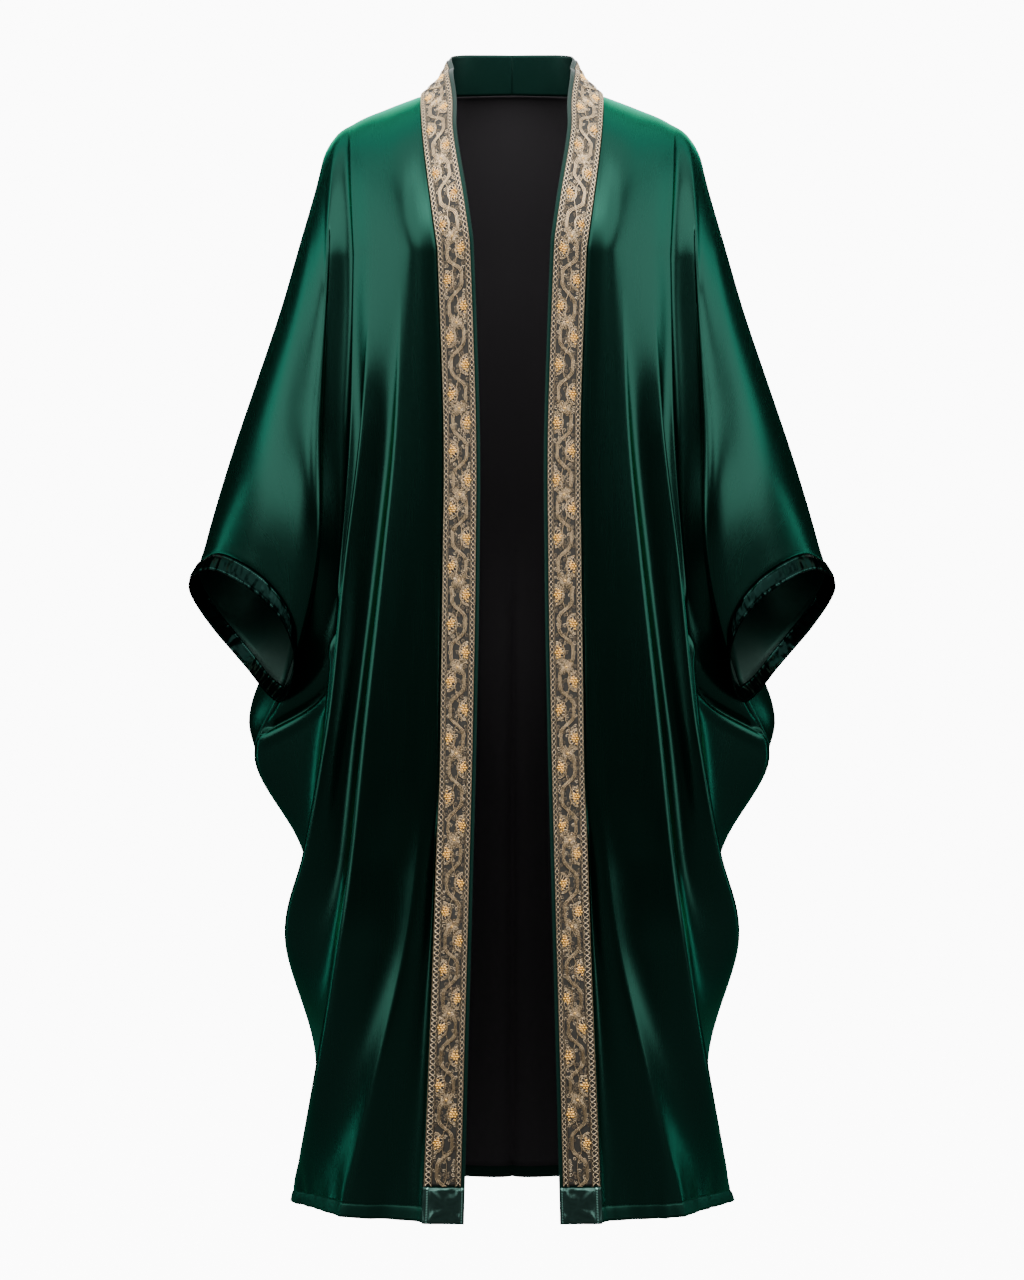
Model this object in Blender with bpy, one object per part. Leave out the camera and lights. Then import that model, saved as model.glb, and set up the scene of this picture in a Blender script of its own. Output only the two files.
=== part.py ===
# Open-front abaya in green velvet with a gold braid, in its worn, hollow form.
# Metres, +Z up. The front faces -Y and the wearer's left side is +X.
# The origin lies at the base of the neck, level with the high shoulder points.
# Tables are in millimetres, for the wearer's left half. The right half is its mirror image.

import bpy
import numpy as np

MM = 0.001

# Driving dimensions
PANEL_WALL = 1.6 * MM
BAND_WALL = 3.0 * MM
TRIM_WALL = 1.2 * MM
CUFF_WALL = 2.4 * MM
LINING_WALL = 1.0 * MM
PATCH_WALL = 1.5 * MM
HALF_GAP = 0.2 * MM
CORNER_GAP = 0.9 * MM
SHARP_CORNER = 0.6
MITRE_FLOOR = 0.5
LAID_GAP = 0.3 * MM
WELD = 0.01 * MM
HEM_Z = -1318.0
BACK_HEM_RISE = 7.0
CUFF_BAND = 22.0
TRIM_INNER = 0.10
TRIM_OUTER = 0.985
LINING_SHORT = 18.0
NECK_FLARE = 5.0
SHOULDER_ROLL = 1.25
GROOVE_ROUND = 1.3
SLEEVE_BULGE_FRONT = 26.0
SLEEVE_BULGE_BACK = 30.0
# The swell q * sqrt(1 - q) across a sleeve is highest at 1 / 2.6
SWELL_SCALE = 2.6
CUFF_BEND = 4

# Levels below the shoulder, where the fold tables give their places
LEVEL_Z = {
    "bust": -200.0,
    "waist": -400.0,
    "elbow": -560.0,
    "cuff": -706.0,
    "bag": -790.0,
    "notch": -895.0,
    "wide": -1000.0,
    "tuck": -1150.0,
    "hem": HEM_Z,
}
HEM_LEVEL = 1 + list(LEVEL_Z).index("hem")

# Fold ridges of a front: distance from the centre line at each level
#            top   bust  waist elbow cuff  bag   notch wide  tuck  hem
FRONT_X = {
    "seam":   (105,   86,   79,   80,   82,   83,   85,   88,   94,  101),
    "soft":   (122,  108,  101,   98,   96,   98,  106,  120,  155,  198),
    "inner":  (141,  126,  134,  149,  165,  174,  185,  201,  228,  262),
    "outer":  (168,  160,  174,  193,  208,  221,  241,  265,  232,  256),
    "short":  (191,  184,  188,  200,  214,  224,  234,  240,  222,  248),
    "side":   (211,  215,  224,  229,  267,  307,  253,  230,  216,  240),
}
# The same ridges: depth, negative towards the front
FRONT_Y = {
    "seam":   (0,   -148, -150, -152, -155, -157, -160, -163, -165, -156),
    "soft":   (0,   -147, -150, -153, -156, -157, -158, -158, -152, -112),
    "inner":  (-1,  -140, -144, -148, -151, -151, -150, -144, -106,   -8),
    "outer":  (-2,  -118, -127, -134, -138, -136, -120,  -74,  -24,   36),
    "short":  (-3,   -98, -110, -117, -104,  -72,  -40,   -8,   14,   56),
    "side":   (-4,   -78,  -92,  -98,  -36,   -4,   10,   22,   36,   76),
}
# Depth of the groove between each ridge and the next
FRONT_GROOVE = {
    "seam":   (0,      0,    2,    3,    4,    5,    7,    9,   11,   10),
    "soft":   (0,      2,    6,    8,    9,   10,   12,   14,   14,   11),
    "inner":  (0,      3,    9,   14,   17,   18,   18,   16,   12,   10),
    "outer":  (0,      3,    8,   12,   13,   14,   12,   10,    8,    7),
    "short":  (0,      3,    9,   14,   12,    8,    6,    6,    6,    7),
}
BACK_X = {
    "centre": (0,      0,    0,    0,    0,    0,    0,    0,    0,    0),
    "yoke":   (62,    50,   47,   46,   46,   46,   47,   50,   56,   66),
    "seam":   (105,   94,   90,   90,   91,   92,   94,   98,  106,  118),
    "soft":   (122,  118,  117,  120,  124,  126,  128,  133,  142,  156),
    "inner":  (141,  144,  146,  152,  162,  165,  164,  165,  173,  190),
    "outer":  (168,  171,  178,  190,  212,  216,  205,  198,  200,  216),
    "short":  (191,  194,  207,  232,  306,  298,  240,  220,  212,  232),
    "side":   (211,  215,  227,  244,  269,  307,  253,  230,  216,  240),
}
BACK_Y = {
    "centre": (75,   124,  132,  138,  143,  146,  150,  156,  165,  172),
    "yoke":   (66,   124,  133,  140,  145,  148,  152,  158,  167,  172),
    "seam":   (0,    116,  128,  136,  142,  145,  149,  154,  161,  163),
    "soft":   (0,    108,  120,  129,  135,  138,  142,  146,  152,  153),
    "inner":  (-1,    96,  108,  117,  122,  125,  130,  133,  138,  139),
    "outer":  (-2,    76,   90,   98,   98,  100,  107,  110,  113,  121),
    "short":  (-3,    56,   72,   76,   40,   46,   62,   74,   80,  100),
    "side":   (-4,    38,   54,   58,  -36,   -4,   10,   22,   36,   76),
}
BACK_GROOVE = {
    "centre": (0,      1,    5,    8,   10,   10,   11,   12,   12,   12),
    "yoke":   (0,      1,    5,    8,   10,   10,   11,   12,   12,   12),
    "seam":   (0,      1,    4,    6,    7,    7,    8,    9,   10,   10),
    "soft":   (0,      2,    6,    9,   11,   11,   12,   13,   13,   12),
    "inner":  (0,      3,    8,   12,   14,   14,   14,   14,   13,   12),
    "outer":  (0,      3,    8,   12,   12,   10,   10,    9,    8,    8),
    "short":  (0,      3,    7,   10,    8,    6,    6,    6,    6,    6),
}
# The shoulder line and the top of the sleeve: x, y, z
SHOULDER = (
    (105, 0, 0),
    (147, -1, -16),
    (186, -3, -33),
    (211, -4, -51),
    (222, -5, -69),
    (228, -6, -93),
    (253, -8, -180),
    (275, -10, -257),
    (302, -12, -338),
    (333, -15, -429),
    (360, -18, -514),
    (371, -19, -550),
    (382, -20, -575),
)
SIDE_KNOT = 3
SLEEVE_KNOT = 5
# Back of the neck, from the centre to the high shoulder point: x, y, z
BACK_NECK = ((0, 75, 14), (34, 73, 13), (62, 65, 11), (90, 38, 6), (105, 0, 0))
# Edge of the sleeve opening from its lowest point to the end of the sleeve's top: x, y, z
CUFF_LOW = (276, -50, -723)
CUFF_TOP = (382, -20, -575)
CUFF_FRONT = (
    CUFF_LOW,
    (265, -72, -715),
    (257, -89, -693),
    (255, -101, -664),
    (263, -107, -636),
    (288, -101, -604),
    (324, -86, -579),
    (357, -56, -567),
    CUFF_TOP,
)
CUFF_BACK = (
    CUFF_LOW,
    (286, -24, -718),
    (300, 6, -706),
    (320, 40, -684),
    (340, 53, -662),
    (362, 52, -636),
    (379, 38, -610),
    (386, 6, -588),
    CUFF_TOP,
)
# A point up the sleeve that the cuff bands lean towards, and the lean of the lowest point
SLEEVE_HEART = (215, 0, -300)
CUFF_LOW_LEAN = (-0.30, 0.45, 0.84)
CUFF_LEAN_REACH = 0.20
# Neck band: step from its seam to its free edge, from the centre back to the hem
#             z of the seam: step x, y, z
BAND_BACK_STEP = ((0, -7, 48), (-5, -7, 49), (-8, -8, 49), (-20, -4, 46), (-36, 4, 34))
BAND_FRONT_STEP = {
    0: (-36, 4, 34),
    -20: (-41, 2, 20),
    -70: (-39, -1, 17),
    -150: (-41, -2, 16),
    -225: (-42, -2, 10),
    -350: (-42, -3, 2),
    -620: (-43, -3, 0),
    -950: (-41, -2, 0),
    HEM_Z: (-46, -2, 0),
}

# Rows as levels (0 is the shoulder) and columns as steps along the fold tables
ROWS_ABOVE = (0, 0.35, 0.7, 1, 1.5, 2, 2.5, 3, 3.5, 4)
ROWS_BELOW = (4.35, 4.7, 5, 5.5, 6, 6.6, 7.2, 7.8, 8.3, 8.76, 9)
FRONT_COLUMNS = (0, 0.5, 1, 1.33, 1.67, 2, 2.33, 2.67, 3, 3.33, 3.67, 4, 4.33, 4.67, 5)
BACK_COLUMNS = (0, 0.5, 1, 1.5)
SLEEVE_COLUMNS = 7
LINING_COLUMNS = 10
BAND_ACROSS = (0.0, TRIM_INNER, TRIM_OUTER, 1.0)

# Finishes: base colour, roughness, metallic
FINISHES = {
    "velvet": ((0.004, 0.045, 0.031, 1.0), 0.62, 0.0),
    "band": ((0.003, 0.026, 0.018, 1.0), 0.70, 0.0),
    "braid": ((0.43, 0.33, 0.19, 1.0), 0.45, 0.35),
    "satin": ((0.003, 0.030, 0.022, 1.0), 0.32, 0.0),
    "lining": ((0.006, 0.006, 0.006, 1.0), 0.85, 0.0),
}

# Finish and wall of each kind of piece
WALLS = {
    "front": ("velvet", PANEL_WALL),
    "back": ("velvet", PANEL_WALL),
    "neck": ("band", BAND_WALL),
    "cuff": ("satin", CUFF_WALL),
}
# What lies on a piece: the piece under it, its finish, and its two faces' distances from that sheet
LAID = {
    "trim": ("braid", BAND_WALL + LAID_GAP, BAND_WALL + LAID_GAP + TRIM_WALL),
    "corner_patch": ("satin", BAND_WALL + LAID_GAP, BAND_WALL + LAID_GAP + PATCH_WALL),
    "lining": ("lining", -LAID_GAP - LINING_WALL, -LAID_GAP),
}


def curve_through(at, knots, values):
    """A cubic through the knots, each with the slope that its two neighbours give."""
    at = np.asarray(at, float)
    knots = np.asarray(knots, float)
    values = np.asarray(values, float)
    flat = values.ndim == 1
    if flat:
        values = values[:, None]
    step = np.diff(knots)[:, None]
    chord = np.diff(values, axis=0) / step
    slope = np.empty_like(values)
    slope[1:-1] = (chord[:-1] * step[1:] + chord[1:] * step[:-1]) / (step[:-1] + step[1:])
    slope[0] = chord[0]
    slope[-1] = chord[-1]
    left = np.clip(np.searchsorted(knots, at, side="right") - 1, 0, len(knots) - 2)
    width = step[left]
    t = (at[..., None] - knots[left][..., None]) / width
    low, high = values[left], values[left + 1]
    found = (
        low * (1 + 2 * t) * (1 - t) ** 2
        + slope[left] * width * t * (1 - t) ** 2
        + high * t**2 * (3 - 2 * t)
        - slope[left + 1] * width * t**2 * (1 - t)
    )
    return found[..., 0] if flat else found


def along(points, share):
    """Points at the given shares of the length of a smooth line through the points."""
    points = np.asarray(points, float)
    length = np.concatenate([[0], np.cumsum(np.linalg.norm(np.diff(points, axis=0), axis=1))])
    return curve_through(np.asarray(share, float) * length[-1], length, points)


def knot_share(points, knot):
    """Share of a line's length at which one of its points lies."""
    points = np.asarray(points, float)
    length = np.cumsum(np.linalg.norm(np.diff(points, axis=0), axis=1))
    return length[knot - 1] / length[-1]


def shoulder_z(x):
    """Height of the shoulder line at a distance from the centre."""
    line = np.asarray(SHOULDER[: SLEEVE_KNOT + 1], float)
    return curve_through(x, line[:, 0], line[:, 2])


def neck_line(share):
    """Points on the back neck seam, from the centre back to the high shoulder point."""
    return along(BACK_NECK, share)


def body(x_table, y_table, groove_table, columns, rows, front):
    """Grid of points on a panel between the centre and the side, one row of points per level."""
    names = list(x_table)
    knots = np.arange(len(names), dtype=float)
    levels = np.arange(HEM_LEVEL + 1, dtype=float)
    columns = np.asarray(columns, float)
    rows = np.asarray(rows, float)
    below = np.maximum(rows, 1.0)
    across = {}
    for key, table in (("x", x_table), ("y", y_table)):
        lines = np.array([table[name] for name in names], float)
        placed = curve_through(below, levels[1:], lines[:, 1:].T)
        across[key] = curve_through(columns, knots, placed.T).T
    first = 0 if front else names.index("seam")
    tops = np.array([(x_table[name][0], y_table[name][0]) for name in names[first:]], float)
    x_top, y_top = curve_through(columns - first, np.arange(len(tops)), tops).T.copy()
    z_top = shoulder_z(np.maximum(x_top, SHOULDER[0][0]))
    if not front:
        inside = columns < first
        neck = neck_line(columns[inside] / first)
        x_top[inside], y_top[inside], z_top[inside] = neck.T
    turn = np.minimum(rows, 1.0) * np.pi / 2
    out = (np.sin(turn) ** SHOULDER_ROLL)[:, None]
    drop = (1 - np.cos(turn) ** SHOULDER_ROLL)[:, None]
    z_level = curve_through(below, levels[1:], list(LEVEL_Z.values()))[:, None]
    z = np.where(rows[:, None] < 1, z_top + (LEVEL_Z["bust"] - z_top) * drop, z_level)
    x = np.where(rows[:, None] < 1, x_top + (across["x"] - x_top) * drop, across["x"])
    y = np.where(rows[:, None] < 1, y_top + (across["y"] - y_top) * out, across["y"])
    if front:
        fade = np.clip(1 - columns / knots[-1], 0, 1)
        x = x + NECK_FLARE * np.sin(np.pi * np.sqrt(drop)) * fade
    depth_names = list(groove_table)
    depth = np.array([groove_table[name] for name in depth_names], float)
    depth = curve_through(rows, levels, depth.T)
    gap = np.minimum(columns.astype(int), len(depth_names) - 1)
    share = columns - gap
    sink = depth[:, gap] * np.sin(np.pi * share)[None, :] ** GROOVE_ROUND
    sweep_x = np.gradient(x, axis=1)
    sweep_y = np.gradient(y, axis=1)
    size = np.hypot(sweep_x, sweep_y)
    side = 1.0 if front else -1.0
    x = x - side * sink * sweep_y / size
    y = y + side * sink * sweep_x / size
    grid = np.stack([x, y, z * np.ones_like(x)], axis=-1)
    if not front:
        rise = np.clip(rows[:, None] - (HEM_LEVEL - 1), 0, 1) * (1 - columns / knots[-1])
        grid[..., 2] += BACK_HEM_RISE * rise
    grid[0] = np.stack([x_top, y_top, z_top], axis=-1)
    return grid


def cuff_edge(points, count):
    """Edge of the sleeve opening, and the seam of its band, at evenly spaced columns."""
    share = np.linspace(0, 1, count + 1)
    edge = along(points, share)
    lean = np.asarray(SLEEVE_HEART, float) - edge
    lean /= np.linalg.norm(lean, axis=1)[:, None]
    low = np.clip(1 - share / CUFF_LEAN_REACH, 0, 1)[:, None] ** 2
    lean = lean * (1 - low) + np.asarray(CUFF_LOW_LEAN) * low
    lean /= np.linalg.norm(lean, axis=1)[:, None]
    return edge, edge + CUFF_BAND * lean


def sleeve(side_line, seam, bulge):
    """Grid from the side line of a panel to the top of the sleeve: a patch between four lines."""
    count = len(seam) - 1
    q = np.linspace(0, 1, count + 1)
    drop = (side_line[:, 2] - side_line[0, 2]) / (side_line[-1, 2] - side_line[0, 2])
    start = knot_share(SHOULDER, SIDE_KNOT)
    turn = knot_share(SHOULDER, SLEEVE_KNOT)
    top = along(SHOULDER, start + (turn - start) * q)
    full = np.asarray(SHOULDER, float)
    length = np.concatenate([[0], np.cumsum(np.linalg.norm(np.diff(full, axis=0), axis=1))])
    last_share = 1 - np.linalg.norm(seam[-1] - full[-1]) / length[-1]
    ridge = along(SHOULDER, turn + (last_share - turn) * drop)
    ridge += drop[:, None] ** CUFF_BEND * (seam[-1] - ridge[-1])
    across = q[None, :, None]
    down = drop[:, None, None]
    grid = (
        (1 - across) * side_line[:, None]
        + across * ridge[:, None]
        + (1 - down) * top[None]
        + down * seam[None]
        - (1 - across) * (1 - down) * side_line[0]
        - across * (1 - down) * ridge[0]
        - (1 - across) * down * side_line[-1]
        - across * down * ridge[-1]
    )
    swell = np.sin(np.pi * drop)[:, None] * (q * np.sqrt(1 - q))[None]
    grid[..., 1] += bulge * SWELL_SCALE * swell
    return grid


def half_panel(front):
    """Body and sleeve grids of the wearer's left half of a front or of the back."""
    rows = ROWS_ABOVE + ROWS_BELOW
    if front:
        grid = body(FRONT_X, FRONT_Y, FRONT_GROOVE, FRONT_COLUMNS, rows, True)
    else:
        columns = BACK_COLUMNS + tuple(2 + c for c in FRONT_COLUMNS)
        grid = body(BACK_X, BACK_Y, BACK_GROOVE, columns, rows, False)
    edge, seam = cuff_edge(CUFF_FRONT if front else CUFF_BACK, SLEEVE_COLUMNS)
    last = len(ROWS_ABOVE) - 1
    grid[last, -1] = seam[0]
    bulge = -SLEEVE_BULGE_FRONT if front else SLEEVE_BULGE_BACK
    arm = sleeve(grid[: last + 1, -1], seam, bulge)
    return grid * MM, arm * MM, edge * MM, seam * MM


def band_grid(front_grid, back_grid):
    """Neck band of one half, from the centre back to the hem: rows of points across its width."""
    neck = back_grid[0, : len(BACK_COLUMNS) + 1]
    share = np.linspace(0, 1, len(neck))
    back_step = curve_through(share, np.linspace(0, 1, len(BAND_BACK_STEP)), BAND_BACK_STEP)
    seam = front_grid[1:, 0]
    heights = -np.array(list(BAND_FRONT_STEP), float)
    front_step = curve_through(-seam[:, 2] / MM, heights, list(BAND_FRONT_STEP.values()))
    seam = np.concatenate([neck, seam])
    step = np.concatenate([back_step, front_step]) * MM
    across = np.asarray(BAND_ACROSS)[None, :, None]
    return seam[:, None] + (1 - across) * step[:, None]


class Cloth:
    """An open sheet of points and four-sided faces, to be thickened into a wall."""

    def __init__(self):
        self.points = []
        self.faces = []

    def add(self, grid, flip=False):
        """Adds a grid of points, welding those that lie where a point lies already."""
        known = {self.key(p): i for i, p in enumerate(self.points)}
        index = np.zeros(grid.shape[:2], int)
        for i, j in np.ndindex(*grid.shape[:2]):
            key = self.key(grid[i, j])
            if key not in known:
                known[key] = len(self.points)
                self.points.append(grid[i, j])
            index[i, j] = known[key]
        for i, j in np.ndindex(grid.shape[0] - 1, grid.shape[1] - 1):
            face = [index[i, j], index[i + 1, j], index[i + 1, j + 1], index[i, j + 1]]
            self.faces.append([face[0], *face[:0:-1]] if flip else face)
        return self

    @staticmethod
    def key(point):
        return tuple(np.round(np.asarray(point) / WELD).astype(int))


def mirrored(grid):
    """The same grid on the wearer's right."""
    return grid * np.array([-1, 1, 1])


def shared_normals(cloths):
    """Normal at each point, averaged over every sheet that meets there."""
    total = {}
    for cloth in cloths:
        points = np.array(cloth.points)
        for face in cloth.faces:
            a, b, c, d = points[face]
            normal = np.cross(c - a, d - b)
            for corner in face:
                key = Cloth.key(points[corner])
                total[key] = total.get(key, 0) + normal
    found = []
    for cloth in cloths:
        normals = np.array([total[Cloth.key(p)] for p in cloth.points])
        found.append(normals / np.linalg.norm(normals, axis=1)[:, None])
    return found


def border_edges(faces):
    """Edges that only one face uses, in that face's direction, each with the face's number."""
    edges = {}
    for number, face in enumerate(faces):
        for a, b in zip(face, face[1:] + face[:1]):
            edges[(a, b)] = number
    return {edge: number for edge, number in edges.items() if edge[::-1] not in edges}


def drawn_in(cloth):
    """The sheet's points, with its border moved into the sheet by half a seam's gap."""
    points = np.array(cloth.points)
    inward = {}
    for (a, b), number in border_edges(cloth.faces).items():
        run = points[b] - points[a]
        run /= np.linalg.norm(run)
        step = points[cloth.faces[number]].mean(axis=0) - points[a]
        step -= run * (step @ run)
        step /= np.linalg.norm(step)
        inward.setdefault(a, []).append(step)
        inward.setdefault(b, []).append(step)
    moved = points.copy()
    for corner, steps in inward.items():
        likeness = steps[0] @ steps[-1]
        gap = HALF_GAP if likeness > SHARP_CORNER else CORNER_GAP
        moved[corner] += (steps[0] + steps[-1]) / max(1 + likeness, MITRE_FLOOR) * gap
    return moved


def rim_order(point):
    """An order of points that is the same on both sides of a seam and on both halves."""
    x, y, z = Cloth.key(point)
    return (z, y, abs(x))


def wall(name, finish, cloth, normals, low, high):
    """A closed wall on a sheet, between two distances out from it, with the same diagonals."""
    points = drawn_in(cloth)
    count = len(points)
    inner = points + normals * low
    outer = points + normals * high
    faces = []
    for a, b, c, d in cloth.faces:
        faces += [(a, b, c), (a, c, d)]
        faces += [(count + c, count + b, count + a), (count + d, count + c, count + a)]
    for a, b in border_edges(cloth.faces):
        if rim_order(cloth.points[a]) < rim_order(cloth.points[b]):
            faces += [(b, a, count + a), (b, count + a, count + b)]
        else:
            faces += [(b, a, count + b), (a, count + a, count + b)]
    faces = [tuple(map(int, face)) for face in faces]
    mesh = bpy.data.meshes.new(name)
    mesh.from_pydata(np.concatenate([outer, inner]).tolist(), [], faces)
    mesh.validate()
    mesh.shade_smooth()
    mesh.materials.append(material(finish))
    thing = bpy.data.objects.new(name, mesh)
    part_collection().objects.link(thing)
    return thing


def material(finish):
    """The named finish as a Principled material."""
    made = bpy.data.materials.get(finish)
    if made is None:
        made = bpy.data.materials.new(finish)
        made.use_nodes = True
        colour, roughness, metallic = FINISHES[finish]
        shader = made.node_tree.nodes["Principled BSDF"]
        shader.inputs["Base Color"].default_value = colour
        shader.inputs["Roughness"].default_value = roughness
        shader.inputs["Metallic"].default_value = metallic
    return made


def part_collection():
    """The collection that holds the abaya's pieces."""
    made = bpy.data.collections.get("abaya")
    if made is None:
        made = bpy.data.collections.new("abaya")
        bpy.context.scene.collection.children.link(made)
    return made


def laid_on(name, kind, cloth, carrier, carrier_normals, cut=None):
    """A wall on a sheet of another sheet's points, or on the same sheet cut shorter."""
    known = dict(zip(map(Cloth.key, carrier.points), carrier_normals))
    normals = np.array([known[Cloth.key(point)] for point in cloth.points])
    finish, low, high = LAID[kind]
    return wall(name, finish, cut or cloth, normals, low, high)


def lining_sheets(back):
    """The middle of the back as a sheet, and the same sheet ending above the hem."""
    whole = back[:, :LINING_COLUMNS]
    short = whole.copy()
    step = whole[-2] - whole[-1]
    short[-1] += step * (LINING_SHORT * MM / np.linalg.norm(step, axis=1)[:, None])
    return [Cloth().add(grid, True).add(mirrored(grid), False) for grid in (whole, short)]


def main():
    for thing in list(bpy.data.objects):
        bpy.data.objects.remove(thing, do_unlink=True)

    front, front_arm, front_edge, front_seam = half_panel(True)
    back, back_arm, back_edge, back_seam = half_panel(False)
    back[len(ROWS_ABOVE) - 1 :, -1] = front[len(ROWS_ABOVE) - 1 :, -1]
    band = band_grid(front, back)

    sheets = {}
    for side, turn in (("left", lambda g: g), ("right", mirrored)):
        right = side == "right"
        sheets[f"front_{side}"] = Cloth().add(turn(front), right).add(turn(front_arm), right)
        sheets[f"neck_band_{side}"] = Cloth().add(turn(band), right)
    sheets["back"] = (
        Cloth()
        .add(back, True)
        .add(back_arm, True)
        .add(mirrored(back), False)
        .add(mirrored(back_arm), False)
    )
    ring = np.stack(
        [
            np.concatenate([front_seam, back_seam[-2:0:-1], front_seam[:1]]),
            np.concatenate([front_edge, back_edge[-2:0:-1], front_edge[:1]]),
        ]
    )
    for side, turn in (("left", lambda g: g), ("right", mirrored)):
        sheets[f"cuff_{side}"] = Cloth().add(turn(ring), side == "right")
    normals = dict(zip(sheets, shared_normals(list(sheets.values()))))
    for name, sheet in sheets.items():
        kind = name.split("_")[0]
        finish, wall_size = WALLS[kind]
        wall(name, finish, sheet, normals[name], 0, wall_size)

    for side, turn in (("left", lambda g: g), ("right", mirrored)):
        right = side == "right"
        carrier = sheets[f"neck_band_{side}"]
        carrier_normals = normals[f"neck_band_{side}"]
        braid = Cloth().add(turn(band[:-1, 1:3]), right)
        laid_on(f"trim_{side}", "trim", braid, carrier, carrier_normals)
        patch = Cloth().add(turn(band[-2:]), right)
        laid_on(f"corner_patch_{side}", "corner_patch", patch, carrier, carrier_normals)
    whole, short = lining_sheets(back)
    laid_on("lining_back", "lining", whole, sheets["back"], normals["back"], short)


main()
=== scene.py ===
"""Open-front batwing abaya in green velvet: the finished look of every piece.

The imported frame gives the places. Each class builds one sub-assembly as surfaces worked out
with numpy, in metres, +Z up, with the front facing -Y and the wearer's left side at +X.
"""

import logging
from dataclasses import dataclass, fields, replace
from enum import Enum

import bpy
import numpy as np
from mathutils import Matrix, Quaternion, Vector


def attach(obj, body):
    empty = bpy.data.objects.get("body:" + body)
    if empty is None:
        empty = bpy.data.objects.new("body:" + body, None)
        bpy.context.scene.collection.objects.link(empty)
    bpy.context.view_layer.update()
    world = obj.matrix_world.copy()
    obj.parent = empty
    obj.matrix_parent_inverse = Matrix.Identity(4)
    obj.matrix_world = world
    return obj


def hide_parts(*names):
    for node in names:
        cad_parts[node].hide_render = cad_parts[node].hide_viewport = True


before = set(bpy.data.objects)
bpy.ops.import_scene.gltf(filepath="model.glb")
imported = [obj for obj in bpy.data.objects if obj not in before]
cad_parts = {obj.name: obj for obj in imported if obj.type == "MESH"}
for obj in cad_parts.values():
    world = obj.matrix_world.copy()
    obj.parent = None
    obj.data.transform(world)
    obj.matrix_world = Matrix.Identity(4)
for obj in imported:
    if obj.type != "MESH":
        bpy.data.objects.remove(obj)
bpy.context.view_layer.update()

LOG = logging.getLogger("abaya")
MM = 0.001

Rows = tuple[float, ...]
Table = dict[str, Rows]
Triple = tuple[float, float, float]
Colour = Triple


class Side(Enum):
    """The wearer's side: the sign of X."""

    LEFT = 1
    RIGHT = -1

    @property
    def word(self) -> str:
        """The side's name as the nodes use it."""
        return self.name.lower()


class Panel(Enum):
    """Which face of the garment a panel makes."""

    FRONT = "front"
    BACK = "back"


# Height of each level under the neck's side, in millimetres
LEVEL_Z: dict[str, float] = {
    "bust": -200.0,
    "waist": -400.0,
    "elbow": -560.0,
    "cuff": -706.0,
    "bag": -790.0,
    "notch": -895.0,
    "wide": -1000.0,
    "tuck": -1150.0,
    "hem": -1318.0,
}
# Rows count the levels down, with 0 at the shoulder and 1 at the bust
CUFF_LEVEL = 1 + list(LEVEL_Z).index("cuff")
HEM_LEVEL = 1 + list(LEVEL_Z).index("hem")

# Walls and bands, in millimetres
PANEL_WALL = 1.6
BAND_WALL = 3.0
CUFF_WALL = 2.4
LINING_WALL = 1.0
LAID_GAP = 0.3
CUFF_BAND = 22.0
# Where the trim lies on the neck band, as shares of its width from the free edge
TRIM_INNER = 0.10
TRIM_OUTER = 0.985
# How far the lining ends above the hem
LINING_SHORT = 18.0

# How far a front bows outwards between neck and bust, and the power of the roll over the shoulder
NECK_FLARE = 5.0
SHOULDER_ROLL = 1.25

# Grooves between the ridges: how near the inner ridge each is deepest, how round it is, its depth
PLEAT_SKEW = 0.62
PLEAT_ROUND = 1.1
PLEAT_DEPTH = 1.25
# Row at which each groove of a panel begins, from the centre outwards, and the rows it takes to form
FRONT_WAKES = (5.0, 5.0, 1.1, 1.15, -0.4)
BACK_WAKES = (2.4, 0.9, 3.2, 0.6, 1.6, 0.2, -0.3)
WAKE_LENGTH = 1.3
# How much deeper or shallower each groove of the back is than its table, so that none repeats
BACK_SHARE = (0.7, 1.25, 0.6, 1.3, 0.75, 1.2, 1.0)
# The outermost groove of both panels is deepened beside the chest: by how much, row and reach
CHEST_FOLD = 2.4
CHEST_FOLD_ROW = 0.8
CHEST_FOLD_REACH = 0.65
# The front's soft fold, the groove with this number, is rounder and shallower than the others
SOFT_GAP = 1
SOFT_SKEW = 0.9
SOFT_ROUND = 1.5
SOFT_SHARE = 0.5

# The lip of slack cloth under the cuff: how high it rises and the rows that it takes up
LIP_RISE = 5.0
LIP_REACH = 0.10
# The groove above it: depth, rows that it lies higher and rows that it takes up
LIP_GROOVE = 11.0
LIP_GROOVE_ABOVE = 0.2
LIP_GROOVE_REACH = 0.13
# Column and row where the lip leaves the body, and how it falls on its way out
LIP_START = (4.05, 3.62)
LIP_FALL = 1.2
LIP_CURVE = 0.68
# Columns over which it grows before its start, and over which it ends before the side
LIP_GROWS = (-0.35, 0.05)
LIP_ENDS = (4.92, 5.0)
# How far the back's slack stands out beside the cuff, with its column and row and their reaches
SLACK = 12.0
SLACK_COLUMN = 6.45
SLACK_COLUMN_REACH = 0.5
SLACK_ROW = 4.4
SLACK_ROW_REACH = 0.55

# The sleeve: how much it swells and how low, and how late its top turns to the cuff
SWELL_SCALE = 2.6
SWELL_SINK = 1.9
CUFF_BEND = 4
# The cuff's band points to this place inside the sleeve, but leans the other way at its low end
SLEEVE_HEART = (215, 0, -300)
CUFF_LOW_LEAN = (-0.30, 0.45, 0.84)
CUFF_LEAN_REACH = 0.20

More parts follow.
